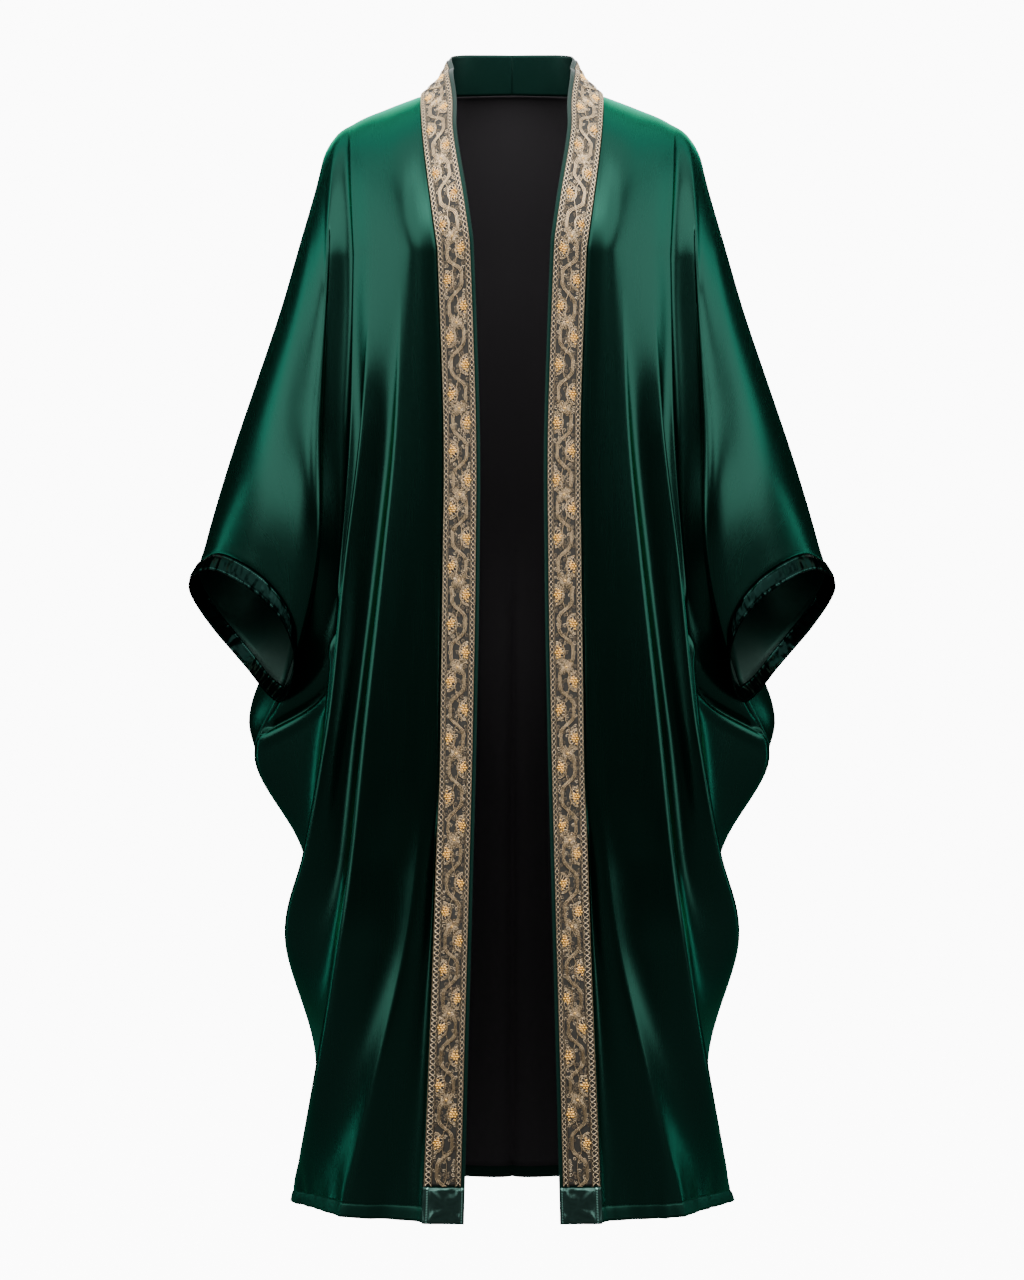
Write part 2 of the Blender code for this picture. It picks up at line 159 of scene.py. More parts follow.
# Ridges of a front, at the top and at each level: distance from the centre, in millimetres
#              top  bust  waist elbow cuff  bag   notch wide  tuck  hem
FRONT_X: Table = {
    "seam":   (105,   86,   79,   80,   82,   83,   85,   88,   94,  101),
    "soft":   (122,  108,  101,   98,   96,   98,  106,  120,  155,  198),
    "inner":  (141,  126,  134,  149,  165,  174,  185,  201,  228,  262),
    "outer":  (168,  160,  174,  193,  208,  221,  241,  265,  232,  256),
    "short":  (191,  184,  188,  200,  214,  224,  234,  240,  222,  248),
    "side":   (211,  215,  224,  229,  267,  307,  253,  230,  216,  240),
}
# The same ridges: depth, negative towards the front
FRONT_Y: Table = {
    "seam":   (0,   -148, -150, -152, -155, -157, -160, -163, -165, -156),
    "soft":   (0,   -147, -150, -153, -156, -157, -158, -158, -152, -112),
    "inner":  (-1,  -140, -144, -148, -151, -151, -150, -144, -106,   -8),
    "outer":  (-2,  -118, -127, -134, -138, -136, -120,  -74,  -24,   36),
    "short":  (-3,   -98, -110, -117, -104,  -72,  -40,   -8,   14,   56),
    "side":   (-4,   -78,  -92,  -98,  -36,   -4,   10,   22,   36,   76),
}
# How deep the groove after each ridge sinks
FRONT_GROOVE: Table = {
    "seam":   (0,      0,    2,    3,    4,    5,    7,    9,   11,   10),
    "soft":   (0,      2,    6,    8,    9,   10,   12,   14,   14,   11),
    "inner":  (0,      3,    9,   14,   17,   18,   18,   16,   12,   10),
    "outer":  (0,      3,    8,   12,   13,   14,   12,   10,    8,    7),
    "short":  (0,      3,    9,   14,   12,    8,    6,    6,    6,    7),
}
# The back in the same way, with the ridges over its neck first
BACK_X: Table = {
    "centre": (0,      0,    0,    0,    0,    0,    0,    0,    0,    0),
    "yoke":   (62,    50,   47,   46,   46,   46,   47,   50,   56,   66),
    "seam":   (105,   94,   90,   90,   91,   92,   94,   98,  106,  118),
    "soft":   (122,  118,  117,  120,  124,  126,  128,  133,  142,  156),
    "inner":  (141,  144,  146,  152,  162,  165,  164,  165,  173,  190),
    "outer":  (168,  171,  178,  190,  212,  216,  205,  198,  200,  216),
    "short":  (191,  194,  207,  232,  306,  298,  240,  220,  212,  232),
    "side":   (211,  215,  227,  244,  269,  307,  253,  230,  216,  240),
}
BACK_Y: Table = {
    "centre": (75,   124,  132,  138,  143,  146,  150,  156,  165,  172),
    "yoke":   (66,   124,  133,  140,  145,  148,  152,  158,  167,  172),
    "seam":   (0,    116,  128,  136,  142,  145,  149,  154,  161,  163),
    "soft":   (0,    108,  120,  129,  135,  138,  142,  146,  152,  153),
    "inner":  (-1,    96,  108,  117,  122,  125,  130,  133,  138,  139),
    "outer":  (-2,    76,   90,   98,   98,  100,  107,  110,  113,  121),
    "short":  (-3,    56,   72,   76,   40,   46,   62,   74,   80,  100),
    "side":   (-4,    38,   54,   58,  -36,   -4,   10,   22,   36,   76),
}
BACK_GROOVE: Table = {
    "centre": (0,      1,    5,    8,   10,   10,   11,   12,   12,   12),
    "yoke":   (0,      1,    5,    8,   10,   10,   11,   12,   12,   12),
    "seam":   (0,      1,    4,    6,    7,    7,    8,    9,   10,   10),
    "soft":   (0,      2,    6,    9,   11,   11,   12,   13,   13,   12),
    "inner":  (0,      3,    8,   12,   14,   14,   14,   14,   13,   12),
    "outer":  (0,      3,    8,   12,   12,   10,   10,    9,    8,    8),
    "short":  (0,      3,    7,   10,    8,    6,    6,    6,    6,    6),
}
# The shoulder line and the top of the sleeve
SHOULDER = (
    (105, 0, 0),
    (147, -1, -16),
    (186, -3, -33),
    (211, -4, -51),
    (222, -5, -69),
    (228, -6, -93),
    (253, -8, -180),
    (275, -10, -257),
    (302, -12, -338),
    (333, -15, -429),
    (360, -18, -514),
    (371, -19, -550),
    (382, -20, -575),
)
# Which of its points lies over the panel's side, and which begins the top of the sleeve
SIDE_KNOT = 3
SLEEVE_KNOT = 5
# The neck's edge at the back, from its centre to the shoulder
BACK_NECK = ((0, 75, 14), (34, 73, 13), (62, 65, 11), (90, 38, 6), (105, 0, 0))
# Edge of the sleeve opening, from its lowest point to the end of the sleeve's top
CUFF_LOW = (276, -50, -723)
CUFF_TOP = (382, -20, -575)
CUFF_FRONT = (
    CUFF_LOW,
    (265, -72, -715),
    (257, -89, -693),
    (255, -101, -664),
    (263, -107, -636),
    (288, -101, -604),
    (324, -86, -579),
    (357, -56, -567),
    CUFF_TOP,
)
CUFF_BACK = (
    CUFF_LOW,
    (286, -24, -718),
    (300, 6, -706),
    (320, 40, -684),
    (340, 53, -662),
    (362, 52, -636),
    (379, 38, -610),
    (386, 6, -588),
    CUFF_TOP,
)
# Step from the neck band's seam to its free edge, at the back of the neck and down the front
BAND_BACK_STEP = ((0, -7, 48), (-5, -7, 49), (-8, -8, 49), (-20, -4, 46), (-36, 4, 34))
BAND_FRONT_STEP: dict[float, Triple] = {
    0: (-36, 4, 34),
    -20: (-41, 2, 20),
    -70: (-39, -1, 17),
    -150: (-41, -2, 16),
    -225: (-42, -2, 10),
    -350: (-42, -3, 2),
    -620: (-43, -3, 0),
    -950: (-41, -2, 0),
    -1318: (-46, -2, 0),
}


def curve_through(at: np.ndarray, knots: np.ndarray, values: np.ndarray) -> np.ndarray:
    """A cubic through knots, each with the slope that its two neighbours give.

    Between knots it is low(1+2t)(1-t)^2 + slope t(1-t)^2 + high t^2(3-2t) - slope t^2(1-t).

    Args:
        at: Places to evaluate, of any shape.
        knots: Rising places of the known values.
        values: Known values, one row per knot.

    Returns:
        The values at each place.
    """
    at = np.asarray(at, float)
    knots = np.asarray(knots, float)
    values = np.asarray(values, float)
    flat = values.ndim == 1
    if flat:
        values = values[:, None]
    step = np.diff(knots)[:, None]
    chord = np.diff(values, axis=0) / step
    slope = np.empty_like(values)
    slope[1:-1] = (chord[:-1] * step[1:] + chord[1:] * step[:-1]) / (step[:-1] + step[1:])
    slope[0] = chord[0]
    slope[-1] = chord[-1]
    left = np.clip(np.searchsorted(knots, at, side="right") - 1, 0, len(knots) - 2)
    width = step[left]
    t = (at[..., None] - knots[left][..., None]) / width
    low, high = values[left], values[left + 1]
    found = (
        low * (1 + 2 * t) * (1 - t) ** 2
        + slope[left] * width * t * (1 - t) ** 2
        + high * t**2 * (3 - 2 * t)
        - slope[left + 1] * width * t**2 * (1 - t)
    )
    return found[..., 0] if flat else found


def run_lengths(points: np.ndarray) -> np.ndarray:
    """Length of a line of points up to each point, along the first axis."""
    steps = np.linalg.norm(np.diff(points, axis=0), axis=-1)
    return np.concatenate([np.zeros_like(steps[:1]), np.cumsum(steps, axis=0)])


def along(points: np.ndarray, share: np.ndarray) -> np.ndarray:
    """Points at the given shares of the length of a smooth line through the points."""
    length = run_lengths(np.asarray(points, float))
    return curve_through(np.asarray(share, float) * length[-1], length, points)


def unit(vectors: np.ndarray) -> np.ndarray:
    """The vectors at length one."""
    return vectors / np.maximum(np.linalg.norm(vectors, axis=-1, keepdims=True), 1e-12)


def smooth_step(low: float, high: float, at: np.ndarray) -> np.ndarray:
    """0 below low, 1 above high, and t^2(3-2t) between."""
    t = np.clip((np.asarray(at, float) - low) / (high - low), 0, 1)
    return t * t * (3 - 2 * t)


def hump(at: np.ndarray, centre: np.ndarray, width: np.ndarray) -> np.ndarray:
    """A bell, exp(-(distance / width)^2), around a centre."""
    return np.exp(-(((at - centre) / width) ** 2))


# Distance, in millimetres, of a point that no hem or seam is near
FAR = 1000.0


@dataclass(frozen=True)
class Surface:
    """A grid of points, rows going down and columns going out from the centre.

    Attributes:
        points: Places in millimetres, rows by columns by 3.
        uv: The same grid laid flat, in millimetres across and down.
        hem: Distance of each point from the hem, or FAR.
        seam: Distance of each point from the nearest seam, or FAR.
    """

    points: np.ndarray
    uv: np.ndarray
    hem: np.ndarray
    seam: np.ndarray

    @classmethod
    def laid_flat(cls, points: np.ndarray, from_uv: np.ndarray | None = None) -> "Surface":
        """A surface whose flat place is its length across each row and down each column.

        Args:
            points: The grid of places.
            from_uv: Flat place of the first column, one row each, where the grid goes on another.

        Returns:
            The surface, with no hem or seam near it.
        """
        across = run_lengths(points.transpose(1, 0, 2)).T
        down = -run_lengths(points)
        if from_uv is not None:
            across = across + from_uv[:, None, 0]
            down = down - down[:, :1] + from_uv[:, None, 1]
        far = np.full(points.shape[:2], FAR)
        return cls(points, np.stack([across, down], axis=-1), far, far)

    def mirrored(self) -> "Surface":
        """The same surface on the wearer's right."""
        return replace(self, points=self.points * [-1, 1, 1], uv=self.uv * [-1, 1])

    def thinned(self, step: int) -> "Surface":
        """Every so many rows and columns, from the first to the last."""
        return Surface(*(getattr(self, f.name)[::step, ::step] for f in fields(self)))


@dataclass(frozen=True)
class PanelCut:
    """The cut of one panel of the wearer's left half, and how it hangs.

    Attributes:
        panel: Front or back.
        x: Fold ridges' distances from the centre at each level.
        y: The same ridges' depths.
        groove: How deep the groove after each ridge sinks.
        cuff: Edge of the sleeve opening on this panel.
        bulge: How far the sleeve swells, negative towards the front.
    """

    panel: Panel
    x: Table
    y: Table
    groove: Table
    cuff: tuple[Triple, ...]
    bulge: float

    @property
    def last(self) -> int:
        """The number of the side column."""
        return len(self.x) - 1

    @property
    def first(self) -> int:
        """The number of the column at the neck band's seam."""
        return 0 if self.panel is Panel.FRONT else list(self.x).index("seam")

    def shoulder_row(self, columns: np.ndarray) -> np.ndarray:
        """Places along the panel's top: the neck seam on a back, then the shoulder seam.

        Args:
            columns: Column places.

        Returns:
            One place per column.
        """
        names = list(self.x)[self.first :]
        tops = np.array([(self.x[name][0], self.y[name][0]) for name in names], float)
        found = curve_through(columns - self.first, np.arange(len(tops)), tops)
        line = np.asarray(SHOULDER[: SLEEVE_KNOT + 1], float)
        height = curve_through(np.maximum(found[:, 0], SHOULDER[0][0]), line[:, 0], line[:, 2])
        row = np.column_stack([found, height])
        neck = columns < self.first
        row[neck] = along(BACK_NECK, columns[neck] / max(self.first, 1))
        return row

    def body(self, columns: np.ndarray, rows: np.ndarray) -> np.ndarray:
        """The panel between the centre and the side.

        Below the bust each ridge follows its table. Above it, the panel rolls over to the
        shoulder: depth grows as sin^1.25 of a quarter turn and the drop as 1 - cos^1.25. Each
        groove sinks into the section by its depth times its shape.

        Args:
            columns: Column places, whole numbers on the ridges.
            rows: Row places, whole numbers on the levels.

        Returns:
            Places, rows by columns by 3.
        """
        names = list(self.x)
        levels = np.arange(HEM_LEVEL + 1, dtype=float)
        below = np.maximum(rows, 1.0)
        x_level, y_level = (
            curve_through(
                columns,
                np.arange(len(names)),
                curve_through(below, levels[1:], np.array([t[n][1:] for n in names], float).T).T,
            ).T
            for t in (self.x, self.y)
        )
        top = self.shoulder_row(columns)
        turn = np.minimum(rows, 1.0) * np.pi / 2
        out = (np.sin(turn) ** SHOULDER_ROLL)[:, None]
        drop = (1 - np.maximum(np.cos(turn), 0) ** SHOULDER_ROLL)[:, None]
        z_level = curve_through(below, levels[1:], list(LEVEL_Z.values()))[:, None]
        rolling = rows[:, None] < 1
        z = np.where(rolling, top[:, 2] + (LEVEL_Z["bust"] - top[:, 2]) * drop, z_level)
        x = np.where(rolling, top[:, 0] + (x_level - top[:, 0]) * drop, x_level)
        y = np.where(rolling, top[:, 1] + (y_level - top[:, 1]) * out, y_level)
        just_below = self.depth_slope(columns)
        y = y + np.where(rolling, just_below * (z - LEVEL_Z["bust"]) * out**2, 0.0)
        if self.panel is Panel.FRONT:
            x = x + NECK_FLARE * np.sin(np.pi * np.sqrt(drop)) * np.clip(1 - columns / self.last, 0, 1)
        depth = curve_through(rows, levels, np.array(list(self.groove.values()), float).T)
        gap = np.minimum(columns.astype(int), len(self.groove) - 1)
        grid = np.stack([x, y, z * np.ones_like(x)], axis=-1)
        sink = depth[:, gap] * self.groove_shape(columns - gap, gap, rows) + self.slack(columns, rows)
        return self.sunk(grid, columns, sink)

    def depth_slope(self, columns: np.ndarray) -> np.ndarray:
        """Change of depth with height just under the bust, which the roll above takes over.

        Args:
            columns: Column places.

        Returns:
            One slope per column.
        """
        names = list(self.y)
        bust, waist = (np.array([self.y[n][i] for n in names], float) for i in (1, 2))
        slope = (waist - bust) / (LEVEL_Z["waist"] - LEVEL_Z["bust"])
        return curve_through(columns, np.arange(len(names)), slope)

    def groove_shape(self, share: np.ndarray, gap: np.ndarray, rows: np.ndarray) -> np.ndarray:
        """How a groove's depth varies between its two ridges, as a share of its table.

        It falls away steeply just outside a ridge and comes back slowly: sin(pi share^skew)^round.
        A groove begins at its own row. The outermost is deepened by a bell beside the chest, and
        the front's soft fold is rounder and shallower than the others.

        Args:
            share: Place of each column between its ridges.
            gap: Number of each column's groove.
            rows: Row places.

        Returns:
            Rows by columns.
        """
        front = self.panel is Panel.FRONT
        soft = (gap == SOFT_GAP) & front
        skew = np.where(soft, SOFT_SKEW, PLEAT_SKEW)
        roundness = np.where(soft, SOFT_ROUND, PLEAT_ROUND)
        pleat = np.clip(np.sin(np.pi * share**skew), 0, 1) ** roundness
        begins = np.array(FRONT_WAKES if front else BACK_WAKES)[gap]
        awake = smooth_step(0, 1, (rows[:, None] - begins) / WAKE_LENGTH)
        outermost = gap == len(self.groove) - 1
        chest = hump(rows, CHEST_FOLD_ROW, CHEST_FOLD_REACH)[:, None]
        fold = 1 + CHEST_FOLD * outermost * chest
        of_table = np.where(soft, SOFT_SHARE, 1.0) if front else np.array(BACK_SHARE)[gap]
        return pleat[None] * awake * fold * of_table * PLEAT_DEPTH

    def slack(self, columns: np.ndarray, rows: np.ndarray) -> np.ndarray:
        """How far the slack under the sleeve leaves the section, in millimetres, inwards positive.

        On the front, a lip runs outwards and down under the cuff with a groove above it. Both are
        bells across a line at the row start + fall * run^curve, where run counts the columns from
        where it leaves the body. On the back, the cloth swells out in a bell.

        Args:
            columns: Column places.
            rows: Row places.

        Returns:
            Rows by columns.
        """
        if self.panel is Panel.BACK:
            wide = hump(columns, SLACK_COLUMN, SLACK_COLUMN_REACH)[None]
            return -SLACK * wide * hump(rows, SLACK_ROW, SLACK_ROW_REACH)[:, None]
        past = columns - LIP_START[0]
        run = np.clip(past, 0, None)
        off = rows[:, None] - (LIP_START[1] + LIP_FALL * run**LIP_CURVE)[None]
        window = smooth_step(*LIP_GROWS, past) * (1 - smooth_step(*LIP_ENDS, columns))
        groove = LIP_GROOVE * hump(off, -LIP_GROOVE_ABOVE, LIP_GROOVE_REACH)
        return window * (groove - LIP_RISE * hump(off, 0.0, LIP_REACH))

    def sunk(self, grid: np.ndarray, columns: np.ndarray, sink: np.ndarray) -> np.ndarray:
        """The grid with its sections sunk inwards, level by level.

        Args:
            grid: Places.
            columns: Column places.
            sink: How far each point goes in, in millimetres.

        Returns:
            The moved places.
        """
        sweep = np.gradient(grid[..., :2], columns, axis=1)
        sweep /= np.maximum(np.linalg.norm(sweep, axis=-1, keepdims=True), 1e-9)
        inward = np.stack([-sweep[..., 1], sweep[..., 0]], axis=-1)
        way = 1.0 if self.panel is Panel.FRONT else -1.0
        moved = grid.copy()
        moved[..., :2] += way * sink[..., None] * inward
        return moved

    def cuff_lines(self, share: np.ndarray) -> tuple[np.ndarray, np.ndarray]:
        """Edge of the sleeve opening and the seam of its band.

        Args:
            share: Places from 0 at its lowest point to 1 at the sleeve's top.

        Returns:
            Places on the edge and on the seam.
        """
        edge = along(self.cuff, share)
        low = (np.clip(1 - share / CUFF_LEAN_REACH, 0, 1) ** 2)[:, None]
        lean = unit(np.asarray(SLEEVE_HEART) - edge) * (1 - low) + np.asarray(CUFF_LOW_LEAN) * low
        return edge, edge + CUFF_BAND * unit(lean)

    def arm(self, side_line: np.ndarray, seam: np.ndarray, share: np.ndarray) -> np.ndarray:
        """The sleeve: a patch between the side line, the sleeve's top, the shoulder and the cuff.

        It blends the four lines, and swells by bulge * scale * sin(pi drop^sink) * q * sqrt(1 - q),
        where drop and q are the shares of the way down and out.

        Args:
            side_line: The panel's side, from the shoulder to the cuff.
            seam: Seam of the cuff's band.
            share: Column places from 0 at the side to 1 at the sleeve's top.

        Returns:
            Places, rows by columns by 3.
        """
        drop = (side_line[:, 2] - side_line[0, 2]) / (side_line[-1, 2] - side_line[0, 2])
        whole = run_lengths(np.asarray(SHOULDER, float))
        start, turn = whole[[SIDE_KNOT, SLEEVE_KNOT]] / whole[-1]
        top = along(SHOULDER, start + (turn - start) * share)
        end = 1 - np.linalg.norm(seam[-1] - SHOULDER[-1]) / whole[-1]
        ridge = along(SHOULDER, turn + (end - turn) * drop)
        ridge += drop[:, None] ** CUFF_BEND * (seam[-1] - ridge[-1])
        q, d = share[None, :, None], drop[:, None, None]
        grid = (
            (1 - q) * side_line[:, None]
            + q * ridge[:, None]
            + (1 - d) * top
            + d * seam
            - (1 - q) * (1 - d) * side_line[0]
            - q * (1 - d) * ridge[0]
            - (1 - q) * d * side_line[-1]
            - q * d * ridge[-1]
        )
        swell = np.sin(np.pi * drop**SWELL_SINK)[:, None] * (share * np.sqrt(np.clip(1 - share, 0, 1)))
        grid[..., 1] += self.bulge * SWELL_SCALE * swell
        return grid


FRONT_CUT = PanelCut(Panel.FRONT, FRONT_X, FRONT_Y, FRONT_GROOVE, CUFF_FRONT, -26.0)
BACK_CUT = PanelCut(Panel.BACK, BACK_X, BACK_Y, BACK_GROOVE, CUFF_BACK, 30.0)


# Steps of the finished cloth: rows of a panel, columns between its ridges, columns of a sleeve
FINE_ROWS = 330
FINE_COLUMNS = (14, 15, 20, 20, 17)
ARM_COLUMNS = 36
# How far the sleeve's columns crowd together towards its top
ARM_CROWDING = 1.15
# The rows are spaced by the length of the middle one of these columns, taken at so many places
MEASURED_COLUMNS = (0.0, 2.0, 4.0)
MEASURED_PLACES = 721
# The back keeps every second point, so the steps across its neck are doubled first
BACK_THINNING = 2
NECK_STEPS = 26
# Rows over which a panel's side is drawn to the cuff's low end
BLEND_ROWS = 0.45
# Column that the lining reaches, counted from the neck band's seam
LINING_REACH = 2.0
# Steps across the neck band and down the cuff's band
BAND_COLUMNS = 14
CUFF_ROWS = 6


def even_places(low: float, high: float, count: int, length_at: np.ndarray) -> np.ndarray:
    """Places between two ends that lie evenly along a measured length.

    Args:
        low: First place.
        high: Last place.
        count: How many steps.
        length_at: Length at evenly spread places between the ends.

    Returns:
        The places, both ends included.
    """
    known = np.linspace(low, high, len(length_at))
    return np.interp(np.linspace(length_at[0], length_at[-1], count + 1), length_at, known)


@dataclass(frozen=True)
class Half:
    """Both panels of the wearer's left half, sampled finely with shared seams.

    Attributes:
        columns: Column places from the neck band's seam to the side.
        cuff_row: Number of the row that ends the sleeve.
        body: The body grid of each panel.
        arm: The sleeve grid of each panel.
        edge: The sleeve opening's edge on each panel.
        seam: The cuff's seam on each panel.
    """

    columns: np.ndarray
    cuff_row: int
    body: dict[Panel, np.ndarray]
    arm: dict[Panel, np.ndarray]
    edge: dict[Panel, np.ndarray]
    seam: dict[Panel, np.ndarray]

    @classmethod
    def cut(cls) -> "Half":
        """Samples the cut, and closes the side seam and the sleeve's top.

        Each panel's side is drawn to the cuff's low end within a bell of rows, and below the cuff
        the back's side takes the front's places.

        Returns:
            The left half.
        """
        probe = np.linspace(0, HEM_LEVEL, MEASURED_PLACES)
        line = FRONT_CUT.body(np.array(MEASURED_COLUMNS), probe)[:, 1]
        length = run_lengths(line)
        cuff_at = np.interp(CUFF_LEVEL, probe, length)
        above = 2 * round(FINE_ROWS * cuff_at / length[-1] / 2)
        split = int(np.searchsorted(probe, CUFF_LEVEL))
        rows = np.concatenate([
            even_places(0, CUFF_LEVEL, above, length[: split + 1]),
            even_places(CUFF_LEVEL, HEM_LEVEL, FINE_ROWS - above, length[split:])[1:],
        ])
        columns = np.concatenate(
            [[0.0]] + [i + np.linspace(0, 1, n + 1)[1:] for i, n in enumerate(FINE_COLUMNS)]
        )
        share = np.sin(np.linspace(0, np.pi / 2, ARM_COLUMNS + 1)) ** ARM_CROWDING
        share[-1] = 1.0
        bell = hump(rows, float(CUFF_LEVEL), BLEND_ROWS)[:, None]
        body: dict[Panel, np.ndarray] = {}
        arm: dict[Panel, np.ndarray] = {}
        edge: dict[Panel, np.ndarray] = {}
        seam: dict[Panel, np.ndarray] = {}
        for cut in (FRONT_CUT, BACK_CUT):
            inner = np.linspace(0, cut.first, 2 * NECK_STEPS + 1)[:-1] if cut.first else np.zeros(0)
            places = np.concatenate([inner, cut.first + columns])
            grid = cut.body(places, rows)
            edge[cut.panel], seam[cut.panel] = cut.cuff_lines(share)
            pull = bell * (seam[cut.panel][0] - grid[above, -1])
            if cut.panel is Panel.BACK:
                pull[above:] = body[Panel.FRONT][above:, -1] - grid[above:, -1]
            reach = smooth_step(cut.last - 1.0, cut.last, places)
            grid = grid + pull[:, None] * reach[None, :, None]
            body[cut.panel] = grid
            arm[cut.panel] = cut.arm(grid[: above + 1, -1], seam[cut.panel], share)
        return cls(columns, above, body, arm, edge, seam)


class Sheet:
    """A cloth of welded grids: points, four-sided faces and a flat place for each point.

    Attributes:
        WELD: Distance within which points count as one, in millimetres.
    """

    WELD = 0.01

    def __init__(self, name: str) -> None:
        """Starts an empty sheet.

        Args:
            name: The name of its node.
        """
        self.name = name
        self.points = np.zeros((0, 3))
        self.uv = np.zeros((0, 2))
        self.hem = np.zeros(0)
        self.seam = np.zeros(0)
        self.faces = np.zeros((0, 4), int)

    def add(self, surface: Surface, flip: bool = False) -> "Sheet":
        """Adds a grid, one face for each step of both directions.

        Args:
            surface: The grid.
            flip: Whether its faces turn the other way.

        Returns:
            The sheet.
        """
        high, wide = surface.points.shape[:2]
        index = np.arange(high * wide).reshape(high, wide) + len(self.points)
        corners = (index[:-1, :-1], index[1:, :-1], index[1:, 1:], index[:-1, 1:])
        quads = np.stack([c.ravel() for c in corners], axis=1)
        self.faces = np.concatenate([self.faces, quads[:, [0, 3, 2, 1]] if flip else quads])
        self.points = np.concatenate([self.points, surface.points.reshape(-1, 3)])
        self.uv = np.concatenate([self.uv, surface.uv.reshape(-1, 2)])
        self.hem = np.concatenate([self.hem, surface.hem.ravel()])
        self.seam = np.concatenate([self.seam, surface.seam.ravel()])
        return self

    @property
    def keys(self) -> np.ndarray:
        """Places as whole numbers of the weld distance, equal where points meet."""
        return np.round(self.points / self.WELD).astype(np.int64)

    @staticmethod
    def share_normals(sheets: list["Sheet"]) -> list[np.ndarray]:
        """Normals averaged over every sheet that meets at a point.

        Args:
            sheets: Sheets that may touch along their seams.

        Returns:
            Normals for each sheet's points.
        """
        keys = np.concatenate([sheet.keys for sheet in sheets])
        _, place = np.unique(keys, axis=0, return_inverse=True)
        place = place.reshape(-1)
        total = np.zeros((place.max() + 1, 3))
        start = 0
        for sheet in sheets:
            a, b, c, d = (sheet.points[sheet.faces[:, i]] for i in range(4))
            area = np.cross(c - a, d - b)
            for corner in range(4):
                np.add.at(total, place[start + sheet.faces[:, corner]], area)
            start += len(sheet.points)
        stops = np.cumsum([len(sheet.points) for sheet in sheets])[:-1]
        return np.split(unit(total)[place], stops)


class Slot(Enum):
    """Which material slot a face of a wall takes."""

    OUTER = 0
    INNER = 1
    RIM = 2


@dataclass
class MeshParts:
    """Arrays that become one mesh, in millimetres.

    Attributes:
        points: Places.
        faces: Corner numbers, all faces with as many corners.
        uv: Flat place of each corner.
        slots: Material slot of each face.
        marks: Named values at the points, in millimetres.
    """

    points: np.ndarray
    faces: np.ndarray
    uv: np.ndarray
    slots: np.ndarray
    marks: dict[str, np.ndarray]

    def build(self, name: str, materials: list[bpy.types.Material]) -> bpy.types.Object:
        """Makes the object at the origin, smooth, with its flat place as a UV map in metres.

        Args:
            name: The object's name.
            materials: One material for each slot that is used.

        Returns:
            The new object, linked to the scene.
        """
        count, corners = self.faces.shape
        mesh = bpy.data.meshes.new(name)
        mesh.vertices.add(len(self.points))
        mesh.vertices.foreach_set("co", (self.points * MM).astype(np.float32).ravel())
        mesh.loops.add(count * corners)
        mesh.loops.foreach_set("vertex_index", self.faces.astype(np.int32).ravel())
        mesh.polygons.add(count)
        mesh.polygons.foreach_set("loop_start", np.arange(count, dtype=np.int32) * corners)
        mesh.polygons.foreach_set("material_index", self.slots.astype(np.int32))
        flat = mesh.uv_layers.new(name="flat")
        flat.data.foreach_set("uv", (self.uv * MM).astype(np.float32).ravel())
        for label, values in self.marks.items():
            mark = mesh.attributes.new(label, "FLOAT", "POINT")
            mark.data.foreach_set("value", (values * MM).astype(np.float32))
        mesh.update()
        mesh.validate()
        mesh.shade_smooth()
        for material in materials:
            mesh.materials.append(material)
        thing = bpy.data.objects.new(name, mesh)
        bpy.context.scene.collection.objects.link(thing)
        LOG.info("%s: %d points, %d faces", name, len(self.points), count)
        return thing


def declare(thing: bpy.types.Object, node: str) -> None:
    """Hides the imported part that a finished piece stands for. The piece rides on the root.

    Args:
        thing: The piece.
        node: The node that it stands for.
    """
    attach(thing, "root")
    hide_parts(node)


def thickened(
    sheet: Sheet, normals: np.ndarray, low: np.ndarray | float, high: np.ndarray | float
) -> MeshParts:
    """A closed wall on a sheet, between two distances out from it.

    Args:
        sheet: The sheet.
        normals: Its normals.
        low: Distance of the inner face, one for all or one a point.
        high: Distance of the outer face.

    Returns:
        Outer faces, inner faces and the rim between them along every free edge.
    """
    _, first, place = np.unique(sheet.keys, axis=0, return_index=True, return_inverse=True)
    place = place.reshape(-1)
    count = len(first)
    inner = (sheet.points + normals * np.reshape(low, (-1, 1)))[first]
    outer = (sheet.points + normals * np.reshape(high, (-1, 1)))[first]
    faces = place[sheet.faces]
    starts = faces.ravel()
    ends = np.roll(faces, -1, axis=1).ravel()
    forward = starts * count + ends
    free = ~np.isin(forward, ends * count + starts)
    a, b = starts[free], ends[free]
    rim = np.stack([b, a, count + a, count + b], axis=1)
    flat = sheet.uv[sheet.faces]
    rim_a = flat.reshape(-1, 2)[free]
    rim_b = np.roll(flat, -1, axis=1).reshape(-1, 2)[free]
    return MeshParts(
        points=np.concatenate([outer, inner]),
        faces=np.concatenate([faces, faces[:, ::-1] + count, rim]),
        uv=np.concatenate([flat, flat[:, ::-1], np.stack([rim_b, rim_a, rim_a, rim_b], axis=1)])
        .reshape(-1, 2),
        slots=np.repeat(
            [Slot.OUTER.value, Slot.INNER.value, Slot.RIM.value], [len(faces), len(faces), len(rim)]
        ),
        marks={
            "from_hem": np.tile(sheet.hem[first], 2),
            "from_seam": np.tile(sheet.seam[first], 2),
        },
    )


